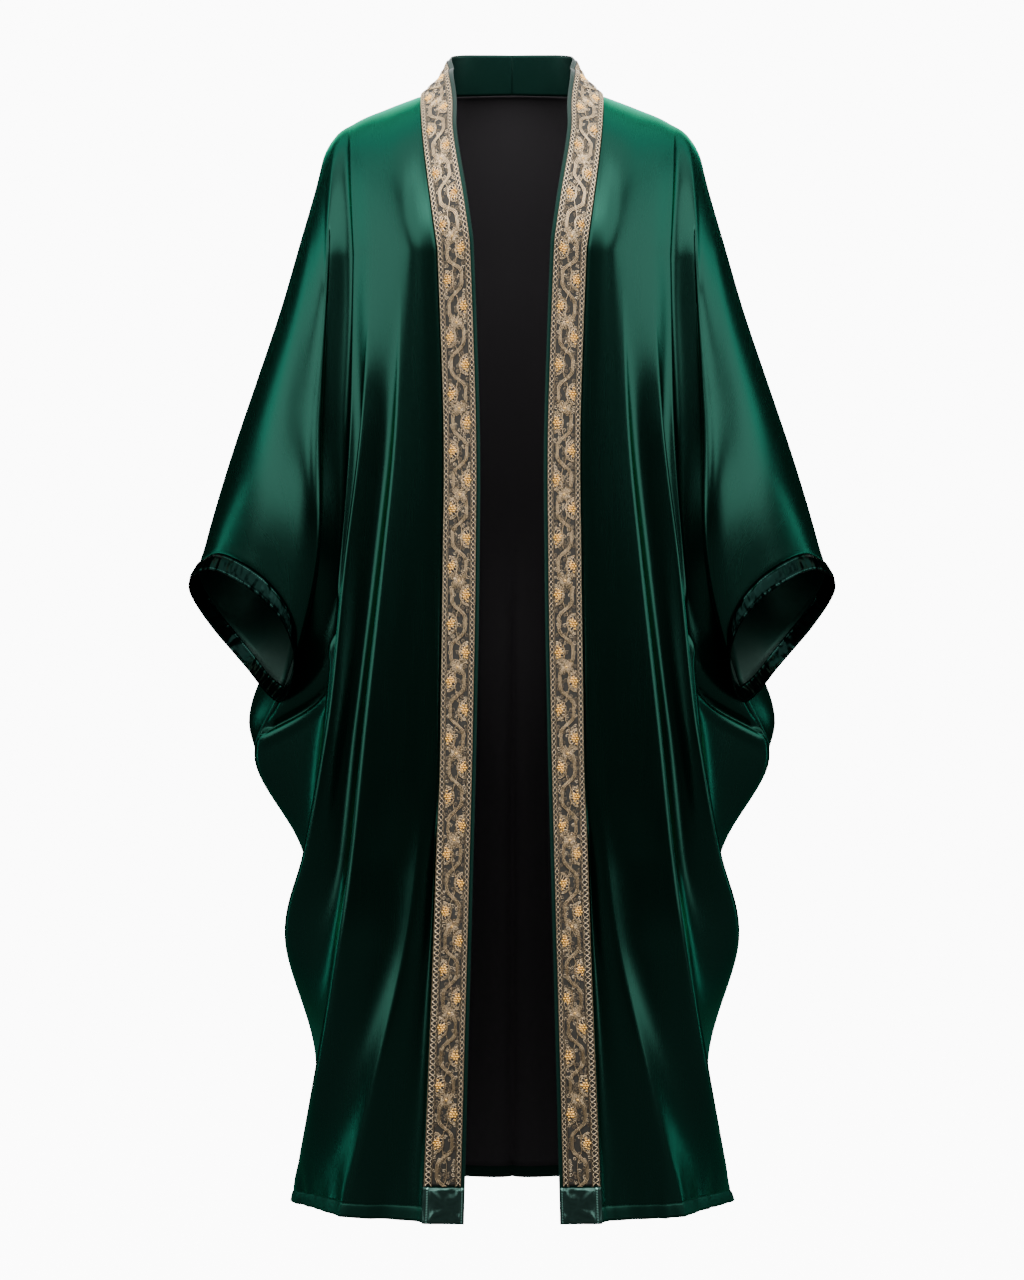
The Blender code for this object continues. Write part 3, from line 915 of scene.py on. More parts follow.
@dataclass(frozen=True)
class Relief:
    """How a wall's outer face leaves the even thickness, in millimetres.

    Attributes:
        wall: Thickness away from edges.
        seam_dip: How far the face sinks at a seam.
        seam_reach: How far from the seam it is even again.
        hem_turn: Width of the turned hem, or 0.
        hem_rise: What the second layer of the hem adds.
        hem_kick: How far the hem's edge flares out.
        pucker: How far the hem waves where it is stitched.
        WAVE: Length that a radian of the puckers' wave takes.
        DRIFT: How far that wave drifts to and fro, in radians.
        DRIFT_WAVE: Length that a radian of the drift takes.
        BEAT: Length that a radian of the puckers' growing and dying takes.
        BEAT_START: Where that begins, in radians.
        LAYER_END: Where the second layer ends and has ended, from the turned hem's width.
        LINE_IN: How far inside the turned hem the line of stitches lies.
        LINE_REACH: Half the width of its groove.
    """

    WAVE = 4.9
    DRIFT = 1.6
    DRIFT_WAVE = 15.0
    BEAT = 23.0
    BEAT_START = 0.7
    LAYER_END = (-2.0, 1.0)
    LINE_IN = 2.5
    LINE_REACH = 1.6

    wall: float
    seam_dip: float = 0.0
    seam_reach: float = 3.0
    hem_turn: float = 0.0
    hem_rise: float = 0.0
    hem_kick: float = 0.0
    pucker: float = 0.0

    def swing(self, sheet: Sheet) -> np.ndarray:
        """How far the whole wall leaves the sheet: the hem's flare and its puckers.

        The flare is kick * (1 - distance / turn). The puckers are a sine along the hem whose pitch
        drifts, and which dies out above the hem. Both die out towards the seams.

        Args:
            sheet: The sheet.

        Returns:
            One distance a point.
        """
        if not self.hem_turn:
            return np.zeros(len(sheet.points))
        flare = self.hem_kick * np.clip(1 - sheet.hem / self.hem_turn, 0, 1)
        at = sheet.uv[:, 0]
        drift = self.DRIFT * np.sin(at / self.DRIFT_WAVE)
        wave = np.sin(at / self.WAVE + drift) * np.sin(at / self.BEAT + self.BEAT_START)
        puckers = self.pucker * wave * (1 - smooth_step(0, 4 * self.hem_turn, sheet.hem))
        return (flare + puckers) * smooth_step(0, SEAM_HOLD, sheet.seam)

    def outer(self, sheet: Sheet) -> np.ndarray:
        """Distance of the outer face from the sheet at each point.

        A seam sinks by exp(-(distance / reach)^2). A turned hem rises within its width, with a
        groove where it is stitched.

        Args:
            sheet: The sheet.

        Returns:
            One distance a point.
        """
        out = self.wall - self.seam_dip * hump(sheet.seam, 0.0, self.seam_reach)
        if self.hem_turn:
            low, high = (self.hem_turn + end for end in self.LAYER_END)
            out = out + self.hem_rise * (1 - smooth_step(low, high, sheet.hem))
            line = hump(sheet.hem, self.hem_turn - self.LINE_IN, self.LINE_REACH)
            out = out - 2 * self.hem_rise * line
        return out


# How far from a seam the hem can flare and pucker freely, in millimetres
SEAM_HOLD = 14.0
FRONT_RELIEF = Relief(
    PANEL_WALL, seam_dip=0.9, seam_reach=3.0, hem_turn=20.0, hem_rise=0.7, hem_kick=0.5, pucker=1.9
)
# The back's hem lies smooth, clear of the lining
BACK_RELIEF = replace(FRONT_RELIEF, pucker=0.0)
BAND_RELIEF = Relief(BAND_WALL, seam_dip=1.4, seam_reach=2.5)
CUFF_RELIEF = Relief(CUFF_WALL, seam_dip=0.8, seam_reach=2.5)


class Pattern:
    """Every sheet of the garment, with normals shared over its seams.

    Attributes:
        half: The sampled left half.
        sheets: Each shell by its node's name.
        normals: Normals of each shell's points.
        band: Band surfaces of each side, with their normals in the same grid.
    """

    def __init__(self) -> None:
        """Cuts the left half and turns it into the sheets of both sides."""
        self.half = Half.cut()
        self.sheets: dict[str, Sheet] = {}
        back, back_arm = self.panel(Panel.BACK)
        front, front_arm = self.panel(Panel.FRONT)
        self.band = self.neck_band()
        ring = self.cuff_ring()
        for side in Side:
            right = side is Side.RIGHT
            turn = Surface.mirrored if right else (lambda surface: surface)
            name = f"front_{side.word}"
            self.sheets[name] = Sheet(name).add(turn(front), right).add(turn(front_arm), right)
            name = f"neck_band_{side.word}"
            self.sheets[name] = Sheet(name).add(turn(self.band), right)
            name = f"cuff_{side.word}"
            self.sheets[name] = Sheet(name).add(turn(ring), right)
        whole = Sheet("back")
        for surface in (back, back_arm):
            thin = surface.thinned(BACK_THINNING)
            whole.add(thin, True).add(thin.mirrored(), False)
        self.sheets["back"] = whole
        found = Sheet.share_normals(list(self.sheets.values()))
        self.normals = dict(zip(self.sheets, found))
        self.add_lining(back.thinned(BACK_THINNING))

    def panel(self, panel: Panel) -> tuple[Surface, Surface]:
        """Body and sleeve of a panel, with their distances from hem and seams.

        Args:
            panel: Front or back.

        Returns:
            The body's surface and the sleeve's.
        """
        grid, arm = self.half.body[panel], self.half.arm[panel]
        flat = Surface.laid_flat(grid)
        across, down = flat.uv[..., 0], -flat.uv[..., 1]
        rows = np.arange(len(grid))[:, None]
        to_side = np.where(rows >= self.half.cuff_row, across[:, -1:] - across, FAR)
        to_band = across if panel is Panel.FRONT else FAR
        shoulder = np.where(across >= 0, down, FAR)
        body = replace(
            flat,
            hem=down[-1] - down,
            seam=np.minimum(np.minimum(to_band, to_side), shoulder),
        )
        flat = Surface.laid_flat(arm, flat.uv[: len(arm), -1])
        across, down = flat.uv[..., 0], -flat.uv[..., 1]
        ends = np.minimum(across[:, -1:] - across, down - down[:1])
        return body, replace(flat, seam=np.minimum(ends, down[-1:] - down))

    def neck_band(self) -> Surface:
        """The left neck band, from the centre back to the hem.

        Returns:
            Its surface, in rows across the band from its free edge to its seam.
        """
        front, back = self.half.body[Panel.FRONT], self.half.body[Panel.BACK]
        neck = back[0, : back.shape[1] - len(self.half.columns) + 1]
        share = np.linspace(0, 1, len(neck))
        knots = np.linspace(0, 1, len(BAND_BACK_STEP))
        seam = front[1:, 0]
        step = np.concatenate([
            curve_through(share, knots, BAND_BACK_STEP),
            curve_through(-seam[:, 2], -np.array(list(BAND_FRONT_STEP), float),
                          list(BAND_FRONT_STEP.values())),
        ])
        seam = np.concatenate([neck, seam])
        across = np.linspace(0, 1, BAND_COLUMNS + 1)
        points = seam[:, None] + (1 - across)[None, :, None] * step[:, None]
        flat = Surface.laid_flat(points)
        wide, down = flat.uv[..., 0], -flat.uv[..., 1]
        edge = np.minimum(wide, wide[:, -1:] - wide)
        return replace(flat, hem=down[-1] - down, seam=edge)

    def cuff_ring(self) -> Surface:
        """The left cuff's band.

        Returns:
            Its surface, from the loop of its seam down to the loop of its edge.
        """
        front, back = Panel.FRONT, Panel.BACK
        loops = [
            np.concatenate([line[front], line[back][-2:0:-1], line[front][:1]])
            for line in (self.half.seam, self.half.edge)
        ]
        share = np.linspace(0, 1, CUFF_ROWS + 1)[:, None, None]
        flat = Surface.laid_flat(loops[0] * (1 - share) + loops[1] * share)
        down = -flat.uv[..., 1]
        return replace(flat, seam=np.minimum(down, down[-1:] - down))

    def add_lining(self, back: Surface) -> None:
        """Adds the lining: the middle of the back on the back's normals, ending above the hem.

        Args:
            back: The left body of the back as its sheet holds it.
        """
        high, wide = back.points.shape[:2]
        sides = self.normals["back"][: 2 * high * wide].reshape(2, high, wide, 3)
        inner = 2 * NECK_STEPS + int(np.argmin(abs(self.half.columns - LINING_REACH)))
        columns = inner // BACK_THINNING + 1
        rows = int(np.argmin(abs(back.hem[:, 0] - LINING_SHORT))) + 1
        kept = Surface(*(getattr(back, f.name)[:rows, :columns] for f in fields(back)))
        kept = replace(kept, seam=np.full((rows, columns), FAR), hem=kept.hem - kept.hem[-1:])
        sheet = Sheet("lining_back").add(kept, True).add(kept.mirrored(), False)
        self.sheets[sheet.name] = sheet
        self.normals[sheet.name] = sides[:, :rows, :columns].reshape(-1, 3)


class Graph:
    """Adds nodes to one tree and joins them."""

    def __init__(self, tree: bpy.types.NodeTree) -> None:
        """Takes the tree to build in."""
        self.tree = tree

    def feed(self, socket: bpy.types.NodeSocket, value: object) -> None:
        """Links a socket to another, or sets it where the value is a constant.

        Args:
            socket: The input to feed.
            value: A socket or a constant.
        """
        if isinstance(value, bpy.types.NodeSocket):
            self.tree.links.new(value, socket)
        else:
            socket.default_value = value

    def node(
        self, kind: str, takes: dict[str | int, object] | None = None, **settings: object
    ) -> bpy.types.Node:
        """A new node.

        Args:
            kind: Its type.
            takes: What its inputs are fed, by name or number.
            settings: Its properties.

        Returns:
            The node.
        """
        made = self.tree.nodes.new(kind)
        for name, value in settings.items():
            setattr(made, name, value)
        for key, value in (takes or {}).items():
            self.feed(made.inputs[key], value)
        return made

    def math(self, operation: str, *values: object) -> bpy.types.NodeSocket:
        """The result of a math node on sockets or constants."""
        return self.node("ShaderNodeMath", dict(enumerate(values)), operation=operation).outputs[0]

    def ramp(self, value: object, low: float, high: float) -> bpy.types.NodeSocket:
        """0 where a value is under low, 1 where it is over high, smooth between."""
        takes = {"Value": value, "From Min": low, "From Max": high}
        return self.node("ShaderNodeMapRange", takes, interpolation_type="SMOOTHSTEP").outputs["Result"]

    def fade(self, value: object, low: float, high: float) -> bpy.types.NodeSocket:
        """1 where a value is under low, 0 where it is over high, smooth between."""
        return self.math("SUBTRACT", 1.0, self.ramp(value, low, high))

    def mix(self, share: object, low: Colour, high: Colour) -> bpy.types.NodeSocket:
        """A colour between two.

        Args:
            share: How much of the second colour it holds.
            low: The first colour.
            high: The second colour.

        Returns:
            The mixed colour.
        """
        made = self.node("ShaderNodeMix", data_type="RGBA")
        takes = {socket.name: socket for socket in made.inputs if socket.enabled}
        for name, value in (("Factor", share), ("A", (*low, 1.0)), ("B", (*high, 1.0))):
            self.feed(takes[name], value)
        return next(socket for socket in made.outputs if socket.enabled)

    def noise(self, place: object, scale: float, detail: float) -> bpy.types.NodeSocket:
        """Noise at a place, from 0 to 1."""
        takes = {"Vector": place, "Scale": scale, "Detail": detail}
        return self.node("ShaderNodeTexNoise", takes, noise_dimensions="3D").outputs["Fac"]

    def streaks(
        self, place: object, stretch: Triple, scale: float, detail: float
    ) -> bpy.types.NodeSocket:
        """Noise drawn out along the axes where stretch is under one, from 0 to 1."""
        drawn = self.node("ShaderNodeVectorMath", {0: place, 1: stretch}, operation="MULTIPLY")
        return self.noise(drawn.outputs[0], scale, detail)

    def bump(self, height: object, distance: float) -> bpy.types.NodeSocket:
        """The normal that a height gives, raised over a distance in metres."""
        takes = {"Height": height, "Strength": 1.0, "Distance": distance}
        return self.node("ShaderNodeBump", takes).outputs["Normal"]


def new_material(name: str) -> tuple[bpy.types.Material, Graph, bpy.types.NodeInputs]:
    """A plain material.

    Args:
        name: Its name.

    Returns:
        The material, its graph and its shader's inputs.
    """
    material = bpy.data.materials.new(name)
    material.use_nodes = True
    shader = material.node_tree.nodes["Principled BSDF"]
    return material, Graph(material.node_tree), shader.inputs


def new_group(
    name: str, takes: dict[str, str], gives: tuple[str, ...]
) -> tuple[bpy.types.NodeTree, bpy.types.Node, bpy.types.Node]:
    """An empty shader group that gives plain values.

    Args:
        name: The group's name.
        takes: Kind of each input, as in its socket's type.
        gives: Names of the outputs.

    Returns:
        The group, its input node and its output node.
    """
    group = bpy.data.node_groups.new(name, "ShaderNodeTree")
    for label, kind in takes.items():
        group.interface.new_socket(label, in_out="INPUT", socket_type=f"NodeSocket{kind}")
    for label in gives:
        group.interface.new_socket(label, in_out="OUTPUT", socket_type="NodeSocketFloat")
    return group, group.nodes.new("NodeGroupInput"), group.nodes.new("NodeGroupOutput")


class Effects:
    """Shader groups that several finishes share. Noise is given on the cloth laid flat.

    Attributes:
        BROAD: Stretch, scale and detail of the pile's broad streaks.
        NARROW: The same of its narrow streaks.
        BROAD_SHARE: How much of the lie is broad streaks.
        GRAIN: Scale and detail of the fine grain.
        CREASE: Stretch, scale and detail of small wrinkles.
        THREAD: Distances from a line of stitches at which its thread fades, in metres.
        DENT: Distances at which the groove round the line fades, in metres.
        DASH: Shares of a stitch's pitch between which its thread goes under.
        TURN: Distances past the line at which the turned cloth fades, in metres.
    """

    BROAD = ((1.0, 0.12, 1.0), 42.0, 3.0)
    NARROW = ((1.0, 0.06, 1.0), 210.0, 2.0)
    BROAD_SHARE = 0.65
    GRAIN = (2600.0, 2.0)
    CREASE = ((1.0, 0.55, 1.0), 82.0, 1.0)
    THREAD = (0.0002, 0.0006)
    DENT = (0.0003, 0.0025)
    DASH = (0.62, 0.70)
    TURN = (0.0, 0.0012)

    def __init__(self) -> None:
        """Builds the groups."""
        self.pile = self.pile_group()
        self.stitch = self.stitch_group()

    def pile_group(self) -> bpy.types.NodeTree:
        """Pile of a stretch velvet: its lie in long soft streaks, its fine grain and its wrinkles.

        Returns:
            The group.
        """
        group, start, end = new_group("pile", {"Place": "Vector"}, ("Lie", "Grain", "Crease"))
        graph = Graph(group)
        place = start.outputs["Place"]
        broad = graph.math("MULTIPLY", graph.streaks(place, *self.BROAD), self.BROAD_SHARE)
        narrow = graph.math("MULTIPLY", graph.streaks(place, *self.NARROW), 1 - self.BROAD_SHARE)
        graph.feed(end.inputs["Lie"], graph.math("ADD", broad, narrow))
        graph.feed(end.inputs["Grain"], graph.noise(place, *self.GRAIN))
        graph.feed(end.inputs["Crease"], graph.streaks(place, *self.CREASE))
        return group

    def stitch_group(self) -> bpy.types.NodeTree:
        """A dashed line of stitches at a distance from an edge, its groove and the cloth turned in.

        Returns:
            The group.
        """
        takes = {name: "Float" for name in ("Distance", "Along", "At", "Pitch")}
        group, start, end = new_group("stitches", takes, ("Mask", "Groove", "Turned"))
        graph = Graph(group)
        past = graph.math("SUBTRACT", start.outputs["Distance"], start.outputs["At"])
        off = graph.math("ABSOLUTE", past)
        count = graph.math("DIVIDE", start.outputs["Along"], start.outputs["Pitch"])
        dash = graph.fade(graph.math("FRACT", count), *self.DASH)
        graph.feed(end.inputs["Mask"], graph.math("MULTIPLY", graph.fade(off, *self.THREAD), dash))
        graph.feed(end.inputs["Groove"], graph.fade(off, *self.DENT))
        graph.feed(end.inputs["Turned"], graph.fade(past, *self.TURN))
        return group


@dataclass(frozen=True)
class Stitching:
    """A visible line of stitches.

    Attributes:
        mark: The attribute that holds the distance from the edge it follows.
        at: Its distance from that edge, in metres.
        tone: How much lighter or darker the thread is than the cloth.
        pitch: Length of one stitch and its gap, in metres.
        depth: How deep the line pulls the cloth in, in metres.
        crush: How much rougher the cloth is between the line and its edge.
    """

    mark: str
    at: float
    tone: float
    pitch: float = 0.0034
    depth: float = 0.0004
    crush: float = 0.0


HEM_STITCH = Stitching("from_hem", at=0.0175, tone=0.4, crush=0.2)
EDGE_STITCH = Stitching("from_seam", at=0.0026, tone=9.0, pitch=0.0030, depth=0.0003)


@dataclass(frozen=True)
class ClothFinish:
    """How one cloth takes the light.

    Attributes:
        name: The material's name.
        base: Colour of the cloth itself.
        bright: Colour of its shine.
        roughness: Spread of the shine.
        shine: Specular level.
        lie: How far the pile's lie changes the shine, 0 for a plain cloth.
        grain: Depth of the fine grain, in metres.
        metallic: Share of the shine that takes the cloth's colour.
        crease: Depth of its small wrinkles, in metres.
    """

    name: str
    base: Colour
    bright: Colour
    roughness: float
    shine: float = 0.5
    lie: float = 0.0
    grain: float = 0.0
    metallic: float = 0.0
    crease: float = 0.0

    def made(self, effects: Effects, seam: Stitching | None = None) -> bpy.types.Material:
        """The finish as a material.

        Args:
            effects: The shared groups.
            seam: The stitch line that shows on the cloth, if any.

        Returns:
            The material.
        """
        material, graph, take = new_material(self.name)
        take["Metallic"].default_value = self.metallic
        take["Specular IOR Level"].default_value = self.shine
        take["Specular Tint"].default_value = (*self.bright, 1.0)
        take["Base Color"].default_value = (*self.base, 1.0)
        flat = graph.node("ShaderNodeUVMap", uv_map="flat")
        pile = graph.node("ShaderNodeGroup", node_tree=effects.pile)
        graph.feed(pile.inputs["Place"], flat.outputs["UV"])
        spread = graph.math("MULTIPLY", graph.math("SUBTRACT", pile.outputs["Lie"], 0.5), self.lie)
        rough = graph.math("ADD", self.roughness, spread)
        graph.feed(take["Roughness"], rough)
        height = graph.math("MULTIPLY", pile.outputs["Grain"], self.grain)
        if self.crease:
            fold = graph.math("MULTIPLY", pile.outputs["Crease"], self.crease)
            height = graph.math("ADD", height, fold)
        if seam:
            mark = graph.node("ShaderNodeAttribute", attribute_name=seam.mark)
            split = graph.node("ShaderNodeSeparateXYZ", {0: flat.outputs["UV"]})
            stitch = graph.node("ShaderNodeGroup", node_tree=effects.stitch)
            graph.feed(stitch.inputs["Distance"], mark.outputs["Fac"])
            either_way = graph.math("ADD", split.outputs["X"], split.outputs["Y"])
            graph.feed(stitch.inputs["Along"], either_way)
            graph.feed(stitch.inputs["At"], seam.at)
            graph.feed(stitch.inputs["Pitch"], seam.pitch)
            thread = tuple(seam.tone * c for c in self.base)
            graph.feed(take["Base Color"], graph.mix(stitch.outputs["Mask"], self.base, thread))
            crushed = graph.math("MULTIPLY", stitch.outputs["Turned"], seam.crush)
            graph.feed(take["Roughness"], graph.math("ADD", rough, crushed))
            groove = graph.math("MULTIPLY", stitch.outputs["Groove"], seam.depth)
            height = graph.math("SUBTRACT", height, groove)
        graph.feed(take["Normal"], graph.bump(height, 1.0))
        return material


VELVET = ClothFinish(
    "velvet", base=(0.0068, 0.0275, 0.0198), bright=(0.14, 0.95, 0.68), roughness=0.27,
    lie=0.07, grain=0.00002, metallic=0.94,
)
VELVET_BACK = ClothFinish(
    "velvet_reverse", base=(0.0010, 0.0040, 0.0030), bright=(0.3, 1.0, 0.75), roughness=0.5,
    shine=0.2, lie=0.05, grain=0.00004,
)
BAND_VELVET = ClothFinish(
    "velvet_band", base=(0.0018, 0.0092, 0.0070), bright=(0.14, 0.5, 0.38), roughness=0.45,
    shine=0.3, lie=0.08, grain=0.00005,
)
SATIN = ClothFinish(
    "satin", base=(0.0015, 0.0046, 0.0038), bright=(0.08, 0.36, 0.29), roughness=0.22,
    lie=0.05, grain=0.00002, metallic=0.92, crease=0.0040,
)
PATCH_SATIN = ClothFinish(
    "patch_satin", base=(0.0260, 0.0560, 0.0470), bright=(0.35, 0.8, 0.7), roughness=0.30,
    lie=0.04, grain=0.00002, metallic=0.85, crease=0.0030,
)
LINING_CLOTH = ClothFinish(
    "lining_cloth", base=(0.0240, 0.0220, 0.0240), bright=(1.0, 1.0, 1.0), roughness=0.85,
    shine=0.1, lie=0.02, grain=0.00002,
)


@dataclass(frozen=True)
class ThreadFinish:
    """Net, metal thread or bead: one colour, with a fine twist on the net.

    Attributes:
        name: The material's name.
        colour: Colour of the metal.
        roughness: Spread of the shine.
        metallic: Share of metal.
        twist: Depth of the thread's twist, in metres.
        TWIST_NOISE: Scale and detail of that twist.
    """

    TWIST_NOISE = (1500.0, 2.0)

    name: str
    colour: Colour
    roughness: float
    metallic: float
    twist: float = 0.0

    def made(self) -> bpy.types.Material:
        """The finish as a material.

        Returns:
            The material.
        """
        material, graph, take = new_material(self.name)
        take["Base Color"].default_value = (*self.colour, 1.0)
        take["Roughness"].default_value = self.roughness
        take["Metallic"].default_value = self.metallic
        if self.twist:
            place = graph.node("ShaderNodeTexCoord")
            grain = graph.noise(place.outputs["Object"], *self.TWIST_NOISE)
            graph.feed(take["Normal"], graph.bump(grain, self.twist))
        return material


NET = ThreadFinish(
    "net_ground", colour=(0.017, 0.0145, 0.010), roughness=0.8, metallic=0.0, twist=0.0002
)
THREAD = ThreadFinish("gold_thread", colour=(0.55, 0.41, 0.245), roughness=0.20, metallic=0.85)
DULL_THREAD = ThreadFinish("dull_thread", colour=(0.26, 0.19, 0.115), roughness=0.28, metallic=0.75)
PALE_THREAD = ThreadFinish("pale_thread", colour=(0.72, 0.56, 0.36), roughness=0.20, metallic=0.8)
BEAD = ThreadFinish("gold_bead", colour=(0.95, 0.52, 0.11), roughness=0.24, metallic=0.5)


class Batch:
    """Small shapes in the trim's own flat space that become one mesh.

    Places are length along the trim, distance across it and height out of it, in millimetres.
    """

    def __init__(self) -> None:
        """Starts an empty batch."""
        self.points: list[np.ndarray] = []
        self.faces: list[np.ndarray] = []
        self.count = 0

    def keep(self, points: np.ndarray, *faces: np.ndarray) -> None:
        """Adds a shape.

        Args:
            points: Its places.
            faces: Grids of its four-cornered faces, numbered on from the batch's count.
        """
        self.points.append(points.reshape(-1, 3))
        self.faces += [grid.reshape(-1, 4) for grid in faces]
        self.count += points.size // 3

    def arrays(self) -> tuple[np.ndarray, np.ndarray]:
        """All points and faces of the batch."""
        return np.concatenate(self.points), np.concatenate(self.faces)


class TubeBatch(Batch):
    """Laid cords.

    Attributes:
        SQUASH: A cord's height as a share of its width.
    """

    SQUASH = 0.85

    def __init__(self, sides: int) -> None:
        """Starts an empty batch of cords with so many sides."""
        super().__init__()
        self.sides = sides

    def add(self, lines: np.ndarray, radius: float, closed: bool = False) -> None:
        """Adds cords along lines, each a ring of points round every step.

        The ring lies across the line in the flat and out of it, squashed a little as laid cord is.

        Args:
            lines: Cords by steps by 3.
            radius: The cord's radius.
            closed: Whether each cord's end meets its start.
        """
        if closed:
            run = np.roll(lines, -1, axis=1) - np.roll(lines, 1, axis=1)
        else:
            run = np.gradient(lines, axis=1)
        flat = unit(np.stack([-run[..., 1], run[..., 0], np.zeros_like(run[..., 0])], axis=-1))
        angle = np.linspace(0, 2 * np.pi, self.sides, endpoint=False)
        ring = (
            flat[..., None, :] * np.cos(angle)[:, None] * radius
            + np.array([0.0, 0.0, 1.0]) * (np.sin(angle)[:, None] * radius * self.SQUASH)
        )
        cords, steps = lines.shape[:2]
        index = np.arange(cords * steps * self.sides).reshape(cords, steps, self.sides) + self.count
        ahead = np.roll(index, -1, axis=1)
        if not closed:
            index, ahead = index[:, :-1], index[:, 1:]
        around, ahead_around = np.roll(index, -1, axis=2), np.roll(ahead, -1, axis=2)
        self.keep(lines[..., None, :] + ring, np.stack([index, around, ahead_around, ahead], axis=-1))


class BeadBatch(Batch):
    """Half beads, each a dome of rings that close to a small cap.

    Attributes:
        RINGS: Rings of a dome.
        SIDES: Points of a ring.
        TOP: Angle of the last ring over the first.
    """

    RINGS = 3
    SIDES = 6
    TOP = 0.47 * np.pi

    def add(self, centres: np.ndarray, radius: float) -> None:
        """Adds beads.

        Args:
            centres: Their places.
            radius: Their radius.
        """
        rise = np.linspace(0, self.TOP, self.RINGS)
        angle = np.linspace(0, 2 * np.pi, self.SIDES, endpoint=False)
        ring = np.stack([
            np.cos(rise)[:, None] * np.cos(angle),
            np.cos(rise)[:, None] * np.sin(angle),
            np.sin(rise)[:, None] * np.ones_like(angle),
        ], axis=-1) * radius
        points = centres[:, None, None, :] + ring
        index = np.arange(points.size // 3).reshape(points.shape[:3]) + self.count
        low, high = index[:, :-1], index[:, 1:]
        quads = np.stack([low, np.roll(low, -1, axis=2), np.roll(high, -1, axis=2), high], axis=-1)
        cap = index[:, -1]
        self.keep(points, quads, np.concatenate([cap[:, [0, 1, 2, 3]], cap[:, [0, 3, 4, 5]]]))


class Layer(Enum):
    """Height of each layer of the embroidery over the net, in millimetres."""

    SCROLLS = 0.55
    BORDER = 0.9
    CHAIN = 0.95
    BLOSSOMS = 1.0
    LEAVES = 1.05
    VINE = 1.35
    STARS = 1.4


@dataclass(frozen=True)
class Leaf:
    """A leaf outline, in millimetres.

    Attributes:
        foot: Distance of its foot from the blossom's middle.
        tip: Distance of its tip.
        wide: Half its width.
    """

    foot: float
    tip: float
    wide: float


@dataclass(frozen=True)
class BraidDesign:
    """Measures of the embroidered braid, in millimetres.

    Attributes:
        repeat: Length of one full wave of the vine.
        sway: How far the vine swings to each side.
        edge: Width of each border.
        link: Length of one link of the border's chain.
        star_every: How many half waves lie between two star blossoms.
        scroll_pitch: Distance between two scrolls along the braid.
        scroll_gap: Distance between two of the five rows of scrolls.
        vine: Each cord of the vine: its share of the sway, its offset and its radius.
        rings: Radii of the rings round a half blossom.
        petal: A leaf of a half blossom.
        star_leaf: A leaf of a star.
        star_vein: The smaller outline inside it.
    """

    repeat: float = 66.0
    sway: float = 9.0
    edge: float = 6.2
    link: float = 6.2
    star_every: int = 3
    scroll_pitch: float = 5.3
    scroll_gap: float = 5.1
    vine: tuple[Triple, ...] = (
        (1, -1.7, 0.46), (1, 0.0, 0.54), (1, 1.7, 0.46), (-0.35, 0.0, 0.4)
    )
    rings: tuple[float, ...] = (12.2, 11.0)
    petal: Leaf = Leaf(3.6, 10.2, 1.7)
    star_leaf: Leaf = Leaf(1.4, 9.4, 1.7)
    star_vein: Leaf = Leaf(2.4, 7.0, 0.7)


class BandSpace:
    """The neck band's outer side as a flat strip that runs from the centre back to the hem.

    Attributes:
        HALF: Half the trim's width on the strip, in millimetres.
        length: Length of the strip along the middle of the trim.
    """

    HALF = 19.0

    def __init__(self, band: Surface, normals: np.ndarray) -> None:
        """Takes the left band's grid and its normals.

        Args:
            band: The band's surface.
            normals: Its normals, in the same grid.
        """
        self.free, self.seam = band.points[:, 0], band.points[:, -1]
        self.normals = normals
        middle = self.free + (self.seam - self.free) * (TRIM_INNER + TRIM_OUTER) / 2
        self.run = run_lengths(middle)
        self.length = float(self.run[-1])

    def place(self, strip: np.ndarray, rise: float = 0.0) -> np.ndarray:
        """Places of points given as length along, distance across and height.

        Across, -19 and 19 are the trim's two edges wherever it lies. The height is measured from
        just over the band's face.

        Args:
            strip: Points by 3, in millimetres.
            rise: What to add to every height.

        Returns:
            Places in millimetres.
        """
        row = np.interp(strip[:, 0], self.run, np.arange(len(self.run)))
        share = (strip[:, 1] / self.HALF + 1) / 2
        across = TRIM_INNER + (TRIM_OUTER - TRIM_INNER) * share
        low = np.clip(row.astype(int), 0, len(self.run) - 2)
        part = (row - low)[:, None]
        free = self.free[low] * (1 - part) + self.free[low + 1] * part
        seam = self.seam[low] * (1 - part) + self.seam[low + 1] * part
        column = np.clip(across, 0, 1) * (self.normals.shape[1] - 1)
        left = np.clip(column.astype(int), 0, self.normals.shape[1] - 2)
        aside = (column - left)[:, None]
        upper = self.normals[low, left] * (1 - aside) + self.normals[low, left + 1] * aside
        lower = self.normals[low + 1, left] * (1 - aside) + self.normals[low + 1, left + 1] * aside
        out = unit(upper * (1 - part) + lower * part)
        height = BAND_WALL + LAID_GAP + rise + strip[:, 2:]
        return free + (seam - free) * across[:, None] + out * height


